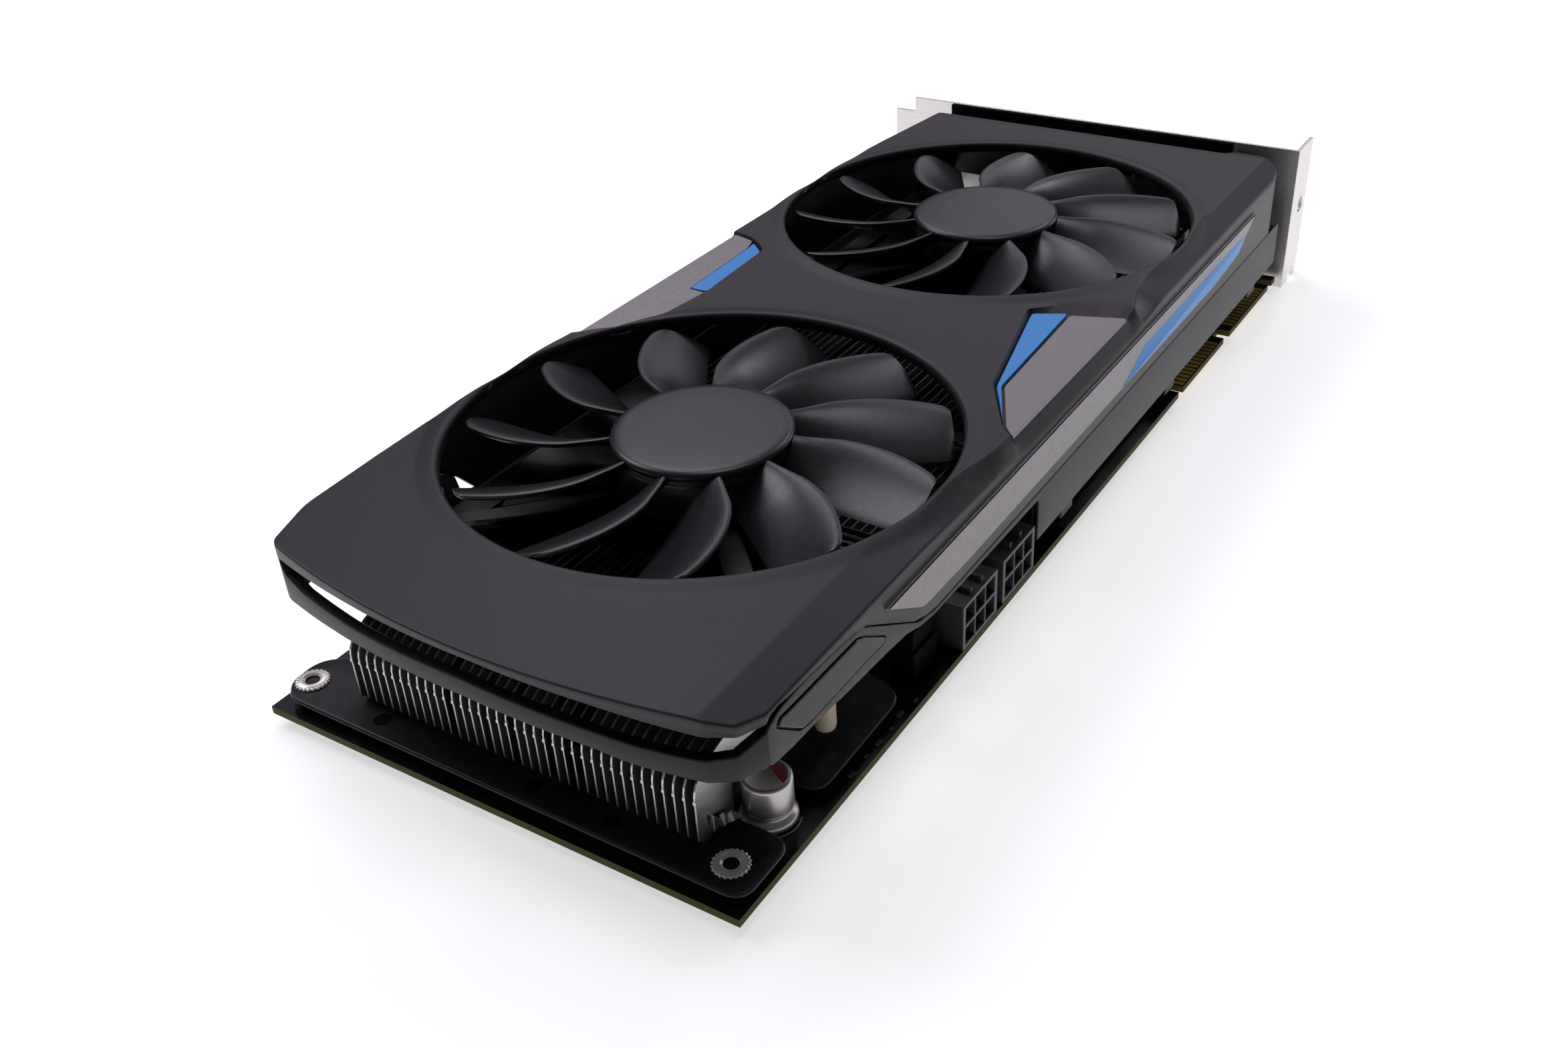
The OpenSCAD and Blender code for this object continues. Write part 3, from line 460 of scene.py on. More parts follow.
bow_line = [(bow(y), y) for y in np.linspace(96.4, 9.2, 45)]
corner_line = soft_corners([(bow(9), 9), (3.4, 6), (6, 2), (11, 0), (16, 0)], 0.6, closed=False)[1:]
far_line = soft_corners([(250, 0), (256, 1.2), (261, 5), (263.8, 10), (264.5, 16), (264.5, 99.8),
                         (257.3, 100.8), (228, 103.6), (222, 104), (50, 104), (35.6, 103.3),
                         (17.3, 102.1), (6.6, 98.2), (bow(96.2), 96.2)], 2.2, closed=False)[:-1]
shroud_edge = thinned(refined(bow_line + corner_line + far_line, 4), 0.15)
badge_top = soft_corners([(95.9, -0.8), (95.7, 0.9), (99, 4.8), (113.6, 13.9), (147.6, 22), (152.8, 16),
                          (159.6, 7.4), (158, -0.8)], 1.2)
badge_floor = soft_corners([(96.6, 1.3), (99.4, 4.6), (114, 13.3), (147.3, 21.1), (150.9, 13.8),
                            (154.9, 1.3)], 0.5)
slot_top = soft_corners([(93, 104.8), (99, 96.5), (109, 91.4), (125, 89.6), (150, 91), (155, 97),
                         (157, 104.8)], 2)
slot_floor = inset(slot_top, 0.4)


def crease(x):
    """Y of the line where the roof starts to fall toward the power side."""
    return graph(x, [(0, 7), (58, 7), (92, 2.0), (158, 1.8), (168, 5.6), (265, 5.6)])


def edge_drop(x):
    """How far the roof falls between the crease and the power side."""
    return graph(x, [(0, 2.1), (58, 2.1), (92, 3.6), (98, 4.2), (156, 4.2), (170, 2.4), (265, 2.2)])


def roof(x, y):
    """Height of the shroud's upper surface. x and y are arrays."""
    z = np.full(x.shape, FLAT)
    for cx, cy in FANS:
        d = np.hypot(x - cx, y - cy) - OPENING
        t = np.clip((LIP_WIDTH - d) / LIP_SLOPE, 0, 1)
        lip = FLAT + (LIP - FLAT) * t * t * (3 - 2 * t)
        lip = np.where(d < LIP_ROUND, LIP - rounding(np.maximum(d, 0), LIP_ROUND), lip)
        z = np.where(d < LIP_WIDTH, lip, z)
    z = z - soft_ramp(crease(x) - y, 0.22) * edge_drop(x) / crease(x)
    steep = np.where(y > 15.5, 0.72, 0.252)
    z = z - steep * soft_ramp(x - FALL_START, 0.4)
    for top, low, deep in ((badge_top, badge_floor, 1.3), (slot_top, slot_floor, 1.2)):
        is_in, is_floor = inside(top, x, y), inside(low, x, y)
        a, b = distance(top, x, y), distance(low, x, y)
        sloped = np.where(is_in & (a > 0.01), a / np.maximum(a + b, 1e-9), 0.0)
        share = np.where(is_floor | (b < 0.01), 1.0, sloped)
        z = np.where(share > 0, np.minimum(z, FLAT) - deep * share, z)
    return z - rounding(distance(shroud_edge, x, y), EDGE_ROUND)


def mesh_between(outline, lines, spacing, rims, rings=(), holes=()):
    """A triangulated sheet inside an outline, less its round holes, with lines kept as edges."""
    margin = 0.8
    points, edges = [], []

    def add(line, closed):
        start = len(points)
        points.extend(Vector(p) for p in line)
        n = len(line)
        edges.extend((start + k, start + (k + 1) % n) for k in range(n if closed else n - 1))

    add(outline, True)
    for d in rims:
        add(inset(outline, d), True)
    for line, closed in lines:
        add(line, closed)
    for cx, cy in holes:
        for d in rings:
            add(circle(cx, cy, OPENING + d, OPENING_SIDES), True)
    xs = np.array([p[0] for p in outline])
    ys = np.array([p[1] for p in outline])
    gx, gy = np.meshgrid(np.arange(xs.min(), xs.max(), spacing),
                         np.arange(ys.min(), ys.max(), spacing))
    gx, gy = gx.ravel(), gy.ravel()
    keep = inside(outline, gx, gy) & (distance(outline, gx, gy) > rims[-1] + 0.6)
    for line, closed in lines:
        keep &= distance(line, gx, gy, closed) > margin
    for cx, cy in holes:
        keep &= np.hypot(gx - cx, gy - cy) > OPENING + max(rings) + margin
    points.extend(Vector((x, y)) for x, y in zip(gx[keep], gy[keep]))
    flat, _, tris, *_ = mathutils.geometry.delaunay_2d_cdt(points, edges, [], 0, 1e-5)
    x = np.array([p.x for p in flat])
    y = np.array([p.y for p in flat])
    tri = np.array([t for t in tris if len(t) == 3])
    mx, my = x[tri].mean(1), y[tri].mean(1)
    use = inside(outline, mx, my)
    clear = OPENING * math.cos(math.pi / OPENING_SIDES) * 0.9999
    for cx, cy in holes:
        use &= np.hypot(mx - cx, my - cy) > clear
    return x, y, tri[use]


lines = [([(x, float(crease(x)) + d) for x in np.arange(4, 264, 2)], False)
         for d in (-0.7, -0.3, 0, 0.3, 0.7)]
lines += [([(FALL_START + d, y) for y in np.arange(2, 103, 3)], False) for d in (-0.9, 0, 0.9)]
lines += [(thinned(refined(line, 2.5), 0.05), True)
          for line in (badge_top, badge_floor, slot_top, slot_floor)]
rings = (0, 0.1, 0.25, 0.45, 0.7, LIP_ROUND, 1.3, 1.9, 2.6, 3.3, 4.0, LIP_WIDTH)
sx, sy, tri = mesh_between(shroud_edge, lines, 5, (0.05, 0.13, 0.26, EDGE_ROUND, 0.6), rings, FANS)
verts = [tuple(p) for p in zip(sx, sy, roof(sx, sy))]
faces = triangles(tri)


def power_split(x):
    """Height where the shroud's power side ends and the lower frame starts."""
    return graph(x, [(-2, 33.2), (11, 30.6), (12, 31.9), (17, 31.3), (25.3, 31), (34, 30.3),
                     (38.5, 29.9), (57, 18.6), (63, 17.4), (265, 17.4)])


def slot_split(x):
    """Height where the shroud's slot side ends."""
    return graph(x, [(0, 31.6), (22, 31.4), (38, 30.1), (53, 21), (58, 15.4), (265, 15.4)])


def open_split(y):
    """Height where the shroud ends round the open end."""
    return graph(y, [(0, 30.4), (4, 31.0), (12, 31.4), (25, 32.2), (47, 32.9), (75, 32.4), (97, 31.7)])


# Close rows under the rim keep the shading of the roof and the wall apart.
rim = np.array(shroud_edge)
rim_z = roof(rim[:, 0], rim[:, 1])
start = len(verts)
count = len(rim)
for (x, y), z in zip(rim, rim_z):
    if x < 11 and y < 98:
        low = float(open_split(y))
    elif y < 20:
        low = float(power_split(x))
    else:
        low = float(slot_split(x))
    verts += [(x, y, z), (x, y, z - 0.06), (x, y, z - 0.2), (x, y, low)]
for k in range(count):
    a, b = start + 4 * k, start + 4 * ((k + 1) % count)
    faces += [(a + j, a + j + 1, b + j + 1, b + j) for j in range(3)]
for cx, cy in FANS:
    hole = np.array(circle(cx, cy, OPENING, OPENING_SIDES))
    start = len(verts)
    for (x, y), z in zip(hole, roof(hole[:, 0], hole[:, 1])):
        verts += [(x, y, z), (x, y, OPENING_FOOT)]
    for k in range(OPENING_SIDES):
        a, b = start + 2 * k, start + 2 * ((k + 1) % OPENING_SIDES)
        faces.append((a, b, b + 1, a + 1))
shell = piece("shroud_shell", verts, faces, "moulding_charcoal", ["shroud"], sharp=30)
weld(shell, 0.02)

# The shell is thinner where little is left between a fan opening and the wall.
vx, vy, vz = np.array(verts).T
to_hole = np.minimum(*(np.hypot(vx - cx, vy - cy) - OPENING for cx, cy in FANS))
narrow = (to_hole < 2.5) & (distance(shroud_edge, vx, vy) < 2.5) & (vz > 31)
walls = shell.vertex_groups.new(name="wall")
walls.add([int(i) for i in np.flatnonzero(~narrow)], 1.0, "REPLACE")
thick = thicken(shell, MOULDED)
thick.vertex_group = "wall"
thick.thickness_vertex_group = 0.1

# ---------- fan rotors ----------

ROOT = 16.9
TIP = 47.4
BLADES = 11
BLADE_TOP = 33.7
BLADE_HALF = 0.58
HUB_WALL = 17.65


def leading(s):
    """Angle of a blade's leading edge, from root (0) to tip (1), in degrees."""
    sweep = 14.5 * max(0.0, (s - 0.3) / 0.7) ** 1.35
    return -3 - sweep - 1.3 * max(0.0, (s - 0.95) / 0.05) ** 2


def trailing(s):
    """Angle of a blade's trailing edge."""
    return -30 - 1.5 * s + 0.9 * max(0.0, (s - 0.96) / 0.04) ** 2


def blade_section(s, c):
    """A point on a blade's upper face; c runs from the leading edge to the trailing one."""
    a = math.radians(leading(s) + (trailing(s) - leading(s)) * c)
    r = ROOT + (TIP - ROOT) * s
    drop = (8.8 - 3.4 * s) * c ** 1.5 + 0.3 * (1 - c) ** 8
    return Vector((r * math.cos(a), r * math.sin(a), BLADE_TOP - 0.4 * s - drop))


def blade(turn, rings=26, steps=16):
    """One cambered blade with a round leading edge and a thinner trailing edge."""
    verts, faces = [], []
    spots = [0.5 - 0.5 * math.cos(math.pi * k / steps) for k in range(steps + 1)]
    stations = sorted({*((k / rings) ** 0.92 for k in range(rings + 1)), 0.978, 0.99})
    for s in stations:
        line = [blade_section(s, c) for c in spots]
        radial = Vector((line[steps // 2].x, line[steps // 2].y, 0)).normalized()
        upper, lower = [], []
        swell = 1 + 0.9 * math.exp(-(ROOT + (TIP - ROOT) * s - HUB_WALL) / 1.1) if s > 0 else 1.9
        for k, p in enumerate(line):
            along = (line[min(k + 1, steps)] - line[max(k - 1, 0)]).normalized()
            n = along.cross(radial)
            n = n if n.z > 0 else -n
            c = spots[k]
            nose = math.sqrt(max(0.0, 1 - (1 - min(c, 0.05) / 0.05) ** 2))
            half = BLADE_HALF * swell * (0.42 + 0.58 * (1 - c)) * min(1.0, nose + 0.12)
            half *= min(1.0, 0.25 + (1 - c) * 14)
            half *= 1 - 0.55 * max(0.0, (s - 0.955) / 0.045) ** 2
            upper.append(p + n * half * 0.6)
            lower.append(p - n * half * 1.4)
        ring = upper + lower[::-1]
        verts += [tuple(Matrix.Rotation(turn, 3, "Z") @ v) for v in ring]
    n = len(ring)
    last = len(stations) - 1
    for i in range(last):
        for k in range(n):
            j = (k + 1) % n
            faces.append((i * n + k, (i + 1) * n + k, (i + 1) * n + j, i * n + j))
    # The tip is closed, and the root is inside the hub.
    for k in range(steps):
        faces.append((last * n + k, last * n + k + 1, (last + 1) * n - 2 - k, (last + 1) * n - 1 - k))
    return verts, [f[::-1] for f in faces]


HUB = [(0, 34.8), (9, 34.8), (15.2, 34.79), (16.5, 34.72), (17.15, 34.52), (17.5, 34.2),
       (HUB_WALL, 33.8), (17.62, 33.45), (17.35, 33.2), (17.12, 33.0), (17.05, 32.6), (17.1, 32.2),
       (17.3, 31.9), (17.35, 31.4), (17.35, 24.3), (17.15, 24.0), (16.5, 24.0), (16.4, 24.4),
       (16.4, 32.4), (0, 32.4)]
for i, (cx, cy) in enumerate(FANS):
    hub = lathe(0, 0, HUB, 96)
    turned = [blade(math.radians(360 / BLADES * k)) for k in range(BLADES)]
    verts, faces = merged([hub, *turned])
    verts = [(x + cx, y + cy, z) for x, y, z in verts]
    piece(f"fan_{i + 1}_blades", verts, faces, "fan_charcoal", [f"fan_{i + 1}_rotor"],
          f"fan_{i + 1}", sharp=38)

# ---------- lower frame ----------


def band_top(x, y):
    """Upper edge of the lower frame round the open end and along the slot side."""
    if x < 11 and y < 96.5:
        if y < 7:
            return graph(x, [(3, 26.5), (6.2, 27.2), (10.7, 29)])
        return graph(y, [(7, 26.4), (17, 26.4), (25, 27), (50, 28.3), (75, 27.3), (92, 27.6),
                         (95, 28.6), (96.5, 31)])
    return graph(x, [(3, 31.2), (22, 31.2), (38, 29.9), (52.6, 21), (53.6, 16.8), (58, 14.9),
                     (260, 14.9)])


def band_low(x, y):
    """Lower edge of the lower frame at the same places."""
    if x < 11 and y < 98.3:
        return graph(y, [(0, 22.2), (7, 22.1), (18, 22.3), (25, 23.4), (50, 24.5), (81, 23.4),
                         (98.2, 22.6)])
    return graph(x, [(6, 22.6), (17, 21.8), (48.9, 20.3), (49.1, 6), (260, 6)])


turn_in = soft_corners([(50, 104), (35.6, 103.3), (17.3, 102.1), (6.6, 98.2), (bow(96.2), 96.2),
                        (bow(90), 90)], 2, closed=False)
band_line = [(260, 104), (160, 104), (58, 104), (53.6, 104), (52.6, 104), (50, 104), (49.1, 104),
             (48.9, 103.95)]
band_line += turn_in[1:-1] + [(bow(y), y) for y in np.linspace(90, 9.2, 42)] + corner_line[1:-1]
band_line = [tuple(map(float, p)) for p in band_line if p[1] > 50 or p[0] < 10.2]
band_line = thinned(band_line + [(10.66, 0)], 0.12)
band = ribbon(band_line, [float(band_top(*p)) for p in band_line],
              [float(band_low(*p)) for p in band_line], 2)

# The power side's panel is drawn in X and Z, with its depth measured inward from the card's edge.
PANEL_ROUND = 0.38
HOLLOW = 0.7
panel_edge = [(10.75, 22.2), (12.5, 21.5), (18, 21), (24, 20.8), (33.4, 19.9), (47, 18.9), (53, 18.3),
              (58, 16.7), (63, 16), (106.7, 15.2), (106.7, 5.5), (260, 5.5), (260, 17.1), (63, 17.1),
              (57.2, 18.2), (38, 29.8), (30, 30.6), (22, 31.1), (14, 30.7), (10.75, 29.1)]
panel_edge = thinned(refined(soft_corners(panel_edge, 0.8, 3), 5), 0.1)
hollow_top = soft_corners([(12.9, 28.0), (19.3, 22.7), (21.9, 22.1), (40.5, 22.0), (45.2, 21.6),
                           (46.1, 22.9), (38.6, 27.9), (36.4, 28.8), (16.4, 29.3), (13.9, 29.5)], 0.7)
hollow_floor = shrunk(hollow_top, 0.985)
lines = [(thinned(refined(line, 2), 0.05), True) for line in (hollow_top, hollow_floor)]
px, pz, tri = mesh_between(panel_edge, lines, 6, (0.08, 0.2, PANEL_ROUND))
push = rounding(distance(panel_edge, px, pz), PANEL_ROUND)
in_hollow = inside(hollow_floor, px, pz) | (distance(hollow_floor, px, pz) < 0.01)
push = np.where(in_hollow, HOLLOW, push)
skin = [tuple(map(float, p)) for p in zip(px, push, pz)]
side = piece("side_panel", skin, triangles(tri), "moulding_charcoal", sharp=30)
thicken(side, MOULDED)

# Feet that stand on the baseplate, and lugs behind the panel's upper edge.
lugs = [brick((x, 0.6, 2.8), (x + 6, 5, 6.1), 0.3) for x in (120, 180, 240)]
lugs += [brick((x - 2.5, 1.6, z - 1.6), (x + 2.5, 6.6, z), 0.3)
         for x, z in ((32.5, 23), (112, 17.1), (242, 17.1))]
# The band and its lugs take a darker, less glossy copy of the shroud's moulding: painted shade for faces
# turned away from the light.
band_shaded_look = material("band_charcoal_shaded", (0.016, 0.0148, 0.0165), 0.42, vary=0.06, bump=0.35, grain=5200,
                     specular=0.25)
piece("lower_band", *merged([band, *lugs]), "moulding_charcoal", ["lower_frame"], sharp=35,
      look=band_shaded_look)

# The glossy six-sided plate in the panel's hollow.
gloss = soft_corners([(13.5, 28.0), (19.6, 23.0), (22.2, 22.4), (40.4, 22.3), (44.9, 21.95),
                      (45.5, 22.9), (38.3, 27.6), (36.3, 28.4), (16.2, 28.9), (14.2, 29.1)], 0.6)
piece("side_hexagon", *tile(gloss, [(0, -0.5), (0, 0.05), (0.1, 0.16), (0.36, 0.26)], outward),
      "gloss_black", ["side_insert"], sharp=20)

# ---------- strips and badges ----------

# The power side's strip, with a black sheet round it as painted shade for the groove it sits in, and a
# coloured flash on it.
strip = soft_corners([(45.3, 28.6), (58.2, 20.9), (74, 20.4), (205, 20.4), (223, 22),
                      (234.5, 28.8)], 1.1)
piece("strip_gap_painted_shade", *tile(inset(strip, -0.55), [(0, -0.4), (0, 0.03)], outward), "frame_black")
piece("strip", *tile(strip, [(0, -0.2), (0, 0.32), (0.1, 0.48), (0.34, 0.58)], outward), "silver_trim",
      ["side_strip"], sharp=18)
flash = soft_corners(upright([(147.5, 20.9), (159, 25.5), (223, 25.9), (228, 25.3), (222.2, 22.3),
                              (206, 20.9)]), 0.4)
piece("strip_flash", *tile(flash, [(0, 0.4), (0, 0.6), (0.1, 0.64)], outward), "blue_accent",
      ["side_strip_accent"])

# The badge and the slot side's strip lie in the shroud's two recesses.
BADGE_BASE = FLAT - 1.32
SLOT_BASE = BADGE_BASE + 0.1
for name, line, base, rise, slot, node in (
        ("badge_face", [(97.4, 1.9), (100.2, 4.6), (114.5, 11.7), (149.9, 13.2), (153.8, 1.9)],
         BADGE_BASE, 0.62, "badge_grey", "badge_plate"),
        ("badge_flash", [(99.3, 4.8), (114, 13.1), (147.1, 20.7), (150.3, 13.9), (114.4, 12.3)],
         BADGE_BASE, 0.72, "blue_accent", "badge_accent"),
        ("slot_face", [(94.5, 103.2), (99.6, 97), (109.2, 91.9), (124.6, 90.3), (124.9, 94.9),
                       (150, 95.9), (154.5, 97.2), (156, 103.2)],
         SLOT_BASE, 0.62, "silver_trim", "slot_side_strip"),
        ("slot_flash", [(125.2, 90.3), (149.4, 91.7), (153.2, 96), (150, 95.6), (125.2, 94.7)],
         SLOT_BASE, 0.72, "blue_accent", "slot_side_accent")):
    levels = [(0, base), (0, base + rise - 0.12), (0.04, base + rise - 0.03), (0.1, base + rise)]
    piece(name, *tile(soft_corners(upright(line), 0.9), levels), slot, [node], sharp=18)

# ---------- heatsink ----------

FINS = 38
FIN_PITCH = 2
FIRST_FIN = 12

# Away from their fronts, the fins' upper parts get a dark metal: painted shade, standing in for the
# shadow the shroud casts on them.
fins = nodes["fin_stack"]
fins.data.materials.append(material("fin_shadowed", (0.07, 0.07, 0.07), 0.5, metal=1.0))
for face in fins.data.polygons:
    centre = card_place(fins, face.center)
    if centre.z > 17 and centre.x > 22:
        face.material_index = 1
soften(fins, 0.13)
rng = np.random.default_rng(7)
bumps = []
for i in range(FINS):
    y = FIRST_FIN + FIN_PITCH * i
    z = 12.5 + rng.uniform(-0.1, 0.1)
    verts, faces = tile([(6.84, z - 0.35), (7.3, z - 0.5), (7.4, z + 0.5), (6.95, z + 0.25)],
                        [(0.05, y - 0.27), (0, y - 0.2), (0, y + 0.2), (0.05, y + 0.27)],
                        lambda a, b, h: (a, h, b))
    bumps.append((verts, [f[::-1] for f in faces]))
piece("fin_bumps", *merged(bumps), "fin_aluminium")

# A crumpled tongue of sheet at the first fin's corner.
TAB_PARTS = 12
TAB_SHEET = Vector((0.15, 0.22, 0))
tab = []
for k in range(TAB_PARTS + 1):
    t = k / TAB_PARTS
    wander = [rng.uniform(-0.3, 0.3) for _ in range(3)]
    centre = Vector((9.4 + 6.8 * t, 11.5 - 1.4 * t ** 0.6, 6.3 - 2.6 * t)) + Vector(wander)
    lean = Vector((0.3 * wander[1], 2 * wander[2], 1)).normalized()
    half = (1.7 - 1.15 * t) * rng.uniform(0.65, 1.1)
    tab.append((centre - lean * half, centre + lean * half))
verts = []
for low, high in tab:
    verts += [tuple(low), tuple(high), tuple(high + TAB_SHEET), tuple(low + TAB_SHEET)]
piece("fin_tab", verts, capped(TAB_PARTS + 1, 4), "fin_aluminium", sharp=20)

# ---------- board and its small parts ----------

# The bare laminate shows at the board's edges.
board = nodes["pcb"]
olive = material("board_edge", (0.062, 0.056, 0.008), 0.6, vary=0.2, scale=700, specular=0.15)
board.data.materials.append(olive)
for face in board.data.polygons:
    if abs(face.normal.z) < 0.3 and -1.5 < card_place(board, face.center).z < -0.05:
        face.material_index = 1

# The baseplate, with its windows and feet, and flat black discs as painted shade for small holes in it.
PLATE_TOP = 2.8
PLATE_ROUND = 0.6
INSERTS = [(6.74, 5.82), (6.74, 98.49)]
plate_edge = upright([(1.3, 98.7), (1.3, 0.1), (15.8, 0.1), (15.8, 13.6), (27, 13.6), (27, 2.1),
                      (55.5, 2.3), (60, 16), (110, 16), (115, 3.4), (240, 3.4), (250.5, 16),
                      (250.5, 92), (240, 99), (16, 97), (12, 102.4), (4.9, 102.4)])
plate_edge = thinned(refined(soft_corners(plate_edge, 3.9, 7), 8), 0.1)
windows = [[(24.2, 15), (58, 15), (58, 92.6), (24.2, 92.6)],
           [(135, 26.5), (195, 26.5), (195, 77.5), (135, 77.5)]]
bx, by, tri = mesh_between(plate_edge, [(window, True) for window in windows], 9,
                           (0.08, 0.2, 0.4, PLATE_ROUND))
height = PLATE_TOP - rounding(distance(plate_edge, bx, by), PLATE_ROUND)
mid_x, mid_y = bx[tri].mean(1), by[tri].mean(1)
tri = tri[~(inside(windows[0], mid_x, mid_y) | inside(windows[1], mid_x, mid_y))]
sheet = piece("plate_sheet", [tuple(map(float, p)) for p in zip(bx, by, height)], triangles(tri),
              "plate_black", ["baseplate"], sharp=35)
thicken(sheet, 1)
studs = [lathe(x, y, [(0, 0.02), (4, 0.02), (4, 1.9), (0, 1.9)], 48) for x, y in INSERTS]
studs += [lathe(x, y, [(0, 0.02), (3, 0.02), (3, 1.9), (0, 1.9)], 32)
          for x, y in ((62, 97), (118, 97), (122, 9.5), (212, 9.5), (212, 96), (246, 30), (246, 80))]
piece("plate_feet", *merged(studs), "plate_black")
# Flat black discs on the plate's top: painted shade, standing in for small holes.
hole_shade_discs = [lathe(x, y, [(0, 2.7), (1.6, 2.7), (1.6, 2.81), (1.5, 2.83), (0, 2.83)], 32)
           for x, y in ((5.2, 27.8), (5.2, 44.5), (5.2, 79.2))]
piece("plate_hole_shade_discs", *merged(hole_shade_discs), "foam_black")

# The can capacitor, its coloured mark and the arc printed beside it.
CAN = (21, 8.2)
silver_can = lathe(*CAN, [(0, 0.02), (4.55, 0.02), (4.85, 0.25), (4.93, 0.7), (4.88, 1.15),
                          (4.6, 1.55), (4.3, 1.8), (4.0, 2.1), (3.92, 2.4), (4.02, 2.75),
                          (4.22, 3.05), (4.3, 3.45), (4.3, 8.2), (4.24, 8.55), (4.05, 8.84),
                          (3.8, 8.96), (3.55, 8.93), (3.4, 8.84), (0, 8.84)], 72)
legs = [tube([(CAN[0] + s, CAN[1], -3.8), (CAN[0] + s, CAN[1], 0.1)], 0.45, 16) for s in (-1.8, 1.8)]
piece("capacitor", *merged([silver_can, *legs]), "can_silver", ["can_capacitor"], sharp=50)
crimson = material("crimson_print", (0.3, 0.008, 0.035), 0.5, vary=0.1)
segment = arc(CAN, 3.36, range(-96, 42, 6))
piece("capacitor_mark", *tile(upright(segment), [(0, 8.8), (0, 8.86), (0.04, 8.88)]), None,
      look=crimson)
print_white = material("board_print", (0.5, 0.5, 0.48), 0.6, vary=0.1)
ring = range(-138, -62, 6)
printed = arc(CAN, 5.5, ring) + arc(CAN, 5.25, reversed(ring))
piece("board_mark", *tile(printed, [(0, -0.01), (0, 0.03)]), None, look=print_white)

# Each insert has a toothed collar and a threaded bore.
TEETH = 22
THREAD_TURNS = 9
THREAD_PITCH = 0.46
for k, (x, y) in enumerate(INSERTS):
    collar = lathe(x, y, [(2.0, 0.2), (2.0, 2.78), (2.85, 2.84), (3.1, 2.9), (3.14, 3.05),
                          (2.92, 3.22), (2.6, 3.28)], 8 * TEETH, TEETH, 0.13)
    bore = [(2.6, 3.28), (2.2, 3.42), (1.8, 3.44), (1.66, 3.36)]
    for j in range(THREAD_TURNS):
        bore += [(1.34, 3.08 - THREAD_PITCH * j), (1.64, 2.85 - THREAD_PITCH * j)]
    piece(f"threaded_insert_{k + 1}", *merged([collar, lathe(x, y, bore, 64)]), "insert_steel",
          ["threaded_inserts"] if k == 0 else (), sharp=28)

# A row of small chips, in two sizes, along the power edge.
CHIPS = 6
CHIP_PITCH = 4.3
CHIP_END = 0.2
chips, ends = [], []
for k in range(CHIPS):
    x, y = 36 + CHIP_PITCH * k + rng.uniform(-0.5, 0.5), 0.75 + 0.35 * (k % 3 == 1)
    long, wide, high = ((1.6, 0.8, 0.45), (1.0, 0.5, 0.35))[k % 2]
    chips.append(brick((x - long / 2 + CHIP_END, y, 0), (x + long / 2 - CHIP_END, y + wide, high), 0.05))
    for s in (-1, 1):
        a = x + s * (long / 2 - 0.12)
        ends.append(brick((a - 0.1, y, 0), (a + 0.1, y + wide, high), 0.05))
piece("small_chips", *merged(chips), "chip_black")
dull_tin = material("dull_tin", (0.12, 0.115, 0.11), 0.5, metal=0.4)
piece("small_chip_ends", *merged(ends), None, look=dull_tin)
cream = material("cream_nylon", (0.5, 0.43, 0.34), 0.5, vary=0.05)
post = [(0, 5.2), (1.2, 5.3), (1.75, 5.7), (1.95, 6.4), (1.95, 32), (0, 32)]
piece("cover_post", *lathe(38.7, 8, post, 32), None, look=cream, sharp=50)

# The fan leads, from the plug up and in under the first fan.
LEADS = 4
LEAD_PITCH = 2
LEAD_RADIUS = 0.55
wires = []
for k in range(LEADS):
    x = 64.5 + LEAD_PITCH * k
    w = [rng.uniform(-0.8, 0.8) for _ in range(4)]
    path = smooth_path([(x, 6.5, 9.2), (x + 0.3 * w[0], 6.3, 11),
                        (x + w[1], 5.2 + 0.6 * w[2], 13 + 0.4 * k),
                        (x + w[3], 4.6 + 0.5 * w[0], 15.2), (x - 0.4 + w[2], 5.6, 17.6),
                        (x + 0.4, 7.2, 20), (x + 0.6, 10, 22), (x + 0.4, 18, 22.3), (x, 37, 22.3)])
    wires.append(tube(path, LEAD_RADIUS, 12))
piece("wires", *merged(wires), "lead_black", ["fan_leads"], sharp=60)

for name in ("power_socket_a", "power_socket_b", "fan_header", "fan_plug"):
    soften(nodes[name], 0.18)
for name in ("fan_header", "fan_plug"):
    nodes[name].data.materials[0] = paint["foam_black"]
# The end gasket is a black strip against the bracket; its black is painted shade for the gap between the
# shroud's end and the bracket.
for name in ("io_bracket", "dvi_socket_lower", "dvi_socket_upper", "hdmi_socket",
             "display_port_socket", "dvi_jack_screws", "bracket_screws", "fan_1_frame", "fan_2_frame",
             "memory_chips", "power_chokes", "end_gasket", "shroud_screws", "baseplate_screws",
             "cooler_screws"):
    soften(nodes[name], 0.2)

# ---------- floor, light, camera ----------

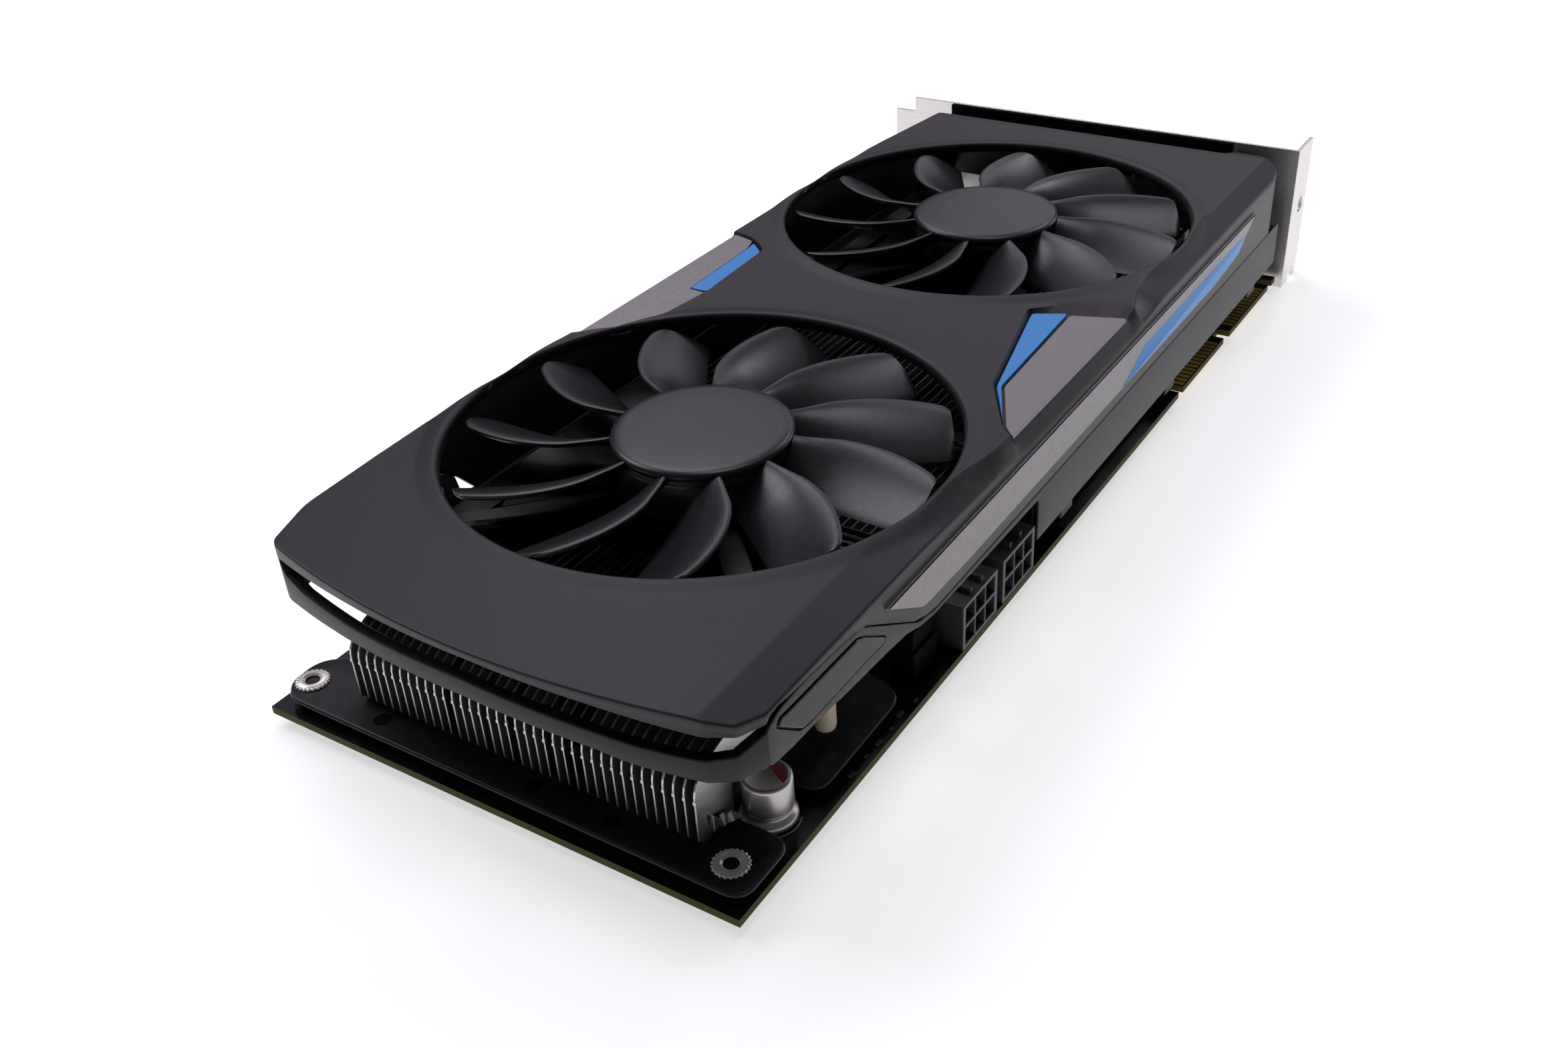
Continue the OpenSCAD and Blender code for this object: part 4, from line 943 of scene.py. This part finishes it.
bpy.ops.mesh.primitive_plane_add(size=12)
floor = bpy.context.object
floor.name = "floor"
pale = material("floor_pale", (0.86, 0.86, 0.86), 0.7, vary=0.01, scale=8)
glow = pale.node_tree.nodes["Principled BSDF"]
glow.inputs["Emission Color"].default_value = (1, 1, 1, 1)
glow.inputs["Emission Strength"].default_value = 0.6
floor.data.materials.append(pale)

world = bpy.data.worlds.new("studio")
bpy.context.scene.world = world
world.use_nodes = True
sky = world.node_tree.nodes["Background"]
sky.inputs["Color"].default_value = (1, 1, 1, 1)
sky.inputs["Strength"].default_value = 0.06


def lamp(name, turn, lift, watts, far=1.6, size=0.6):
    """A square soft light, faintly lilac, aimed at the card from a bearing and a height in degrees."""
    data = bpy.data.lights.new(name, "AREA")
    data.shape = "SQUARE"
    data.size = size
    data.energy = watts
    data.color = (1, 0.95, 1.06)
    o = bpy.data.objects.new(name, data)
    bpy.context.scene.collection.objects.link(o)
    turn, lift = math.radians(turn), math.radians(lift)
    flat = math.cos(lift)
    o.location = Vector((flat * math.cos(turn), flat * math.sin(turn), math.sin(lift))) * far
    o.rotation_mode = "QUATERNION"
    o.rotation_quaternion = (Vector((0, 0, 0.03)) - o.location).to_track_quat("-Z", "Y")


lamp("overhead", 0, 80, 4.5)
lamp("back", 95, 45, 6.6)
lamp("back_corner", 50, 50, 3.4)
lamp("sheen", 38, 35, 1.0)
lamp("far_low", 15, 25, 0.9)
lamp("far_side", -20, 15, 2.0)
lamp("back_low", 110, 15, 0.5)
lamp("blade_streak", -3, 40, 1.1, 1.3, 0.22)

camera = bpy.data.objects.new("camera", bpy.data.cameras.new("camera"))
bpy.context.scene.collection.objects.link(camera)
bpy.context.scene.camera = camera
back = Vector((-0.6994, -0.4623, 0.5451)).normalized()
right = Vector((0.5513, -0.8342, 0)).normalized()
up = back.cross(right)
roll = math.radians(3.02)
turned_right = right * math.cos(roll) - up * math.sin(roll)
turned_up = right * math.sin(roll) + up * math.cos(roll)
camera.matrix_world = Matrix.Translation((-0.26096, -0.15517, 0.17549)) @ Matrix(
    (turned_right, turned_up, back)).transposed().to_4x4()
camera.data.sensor_width = 36
camera.data.lens = 34.17
camera.data.shift_x = -0.0130
camera.data.shift_y = -0.0007
camera.data.clip_start = 0.01
bpy.context.scene.view_settings.view_transform = "Standard"
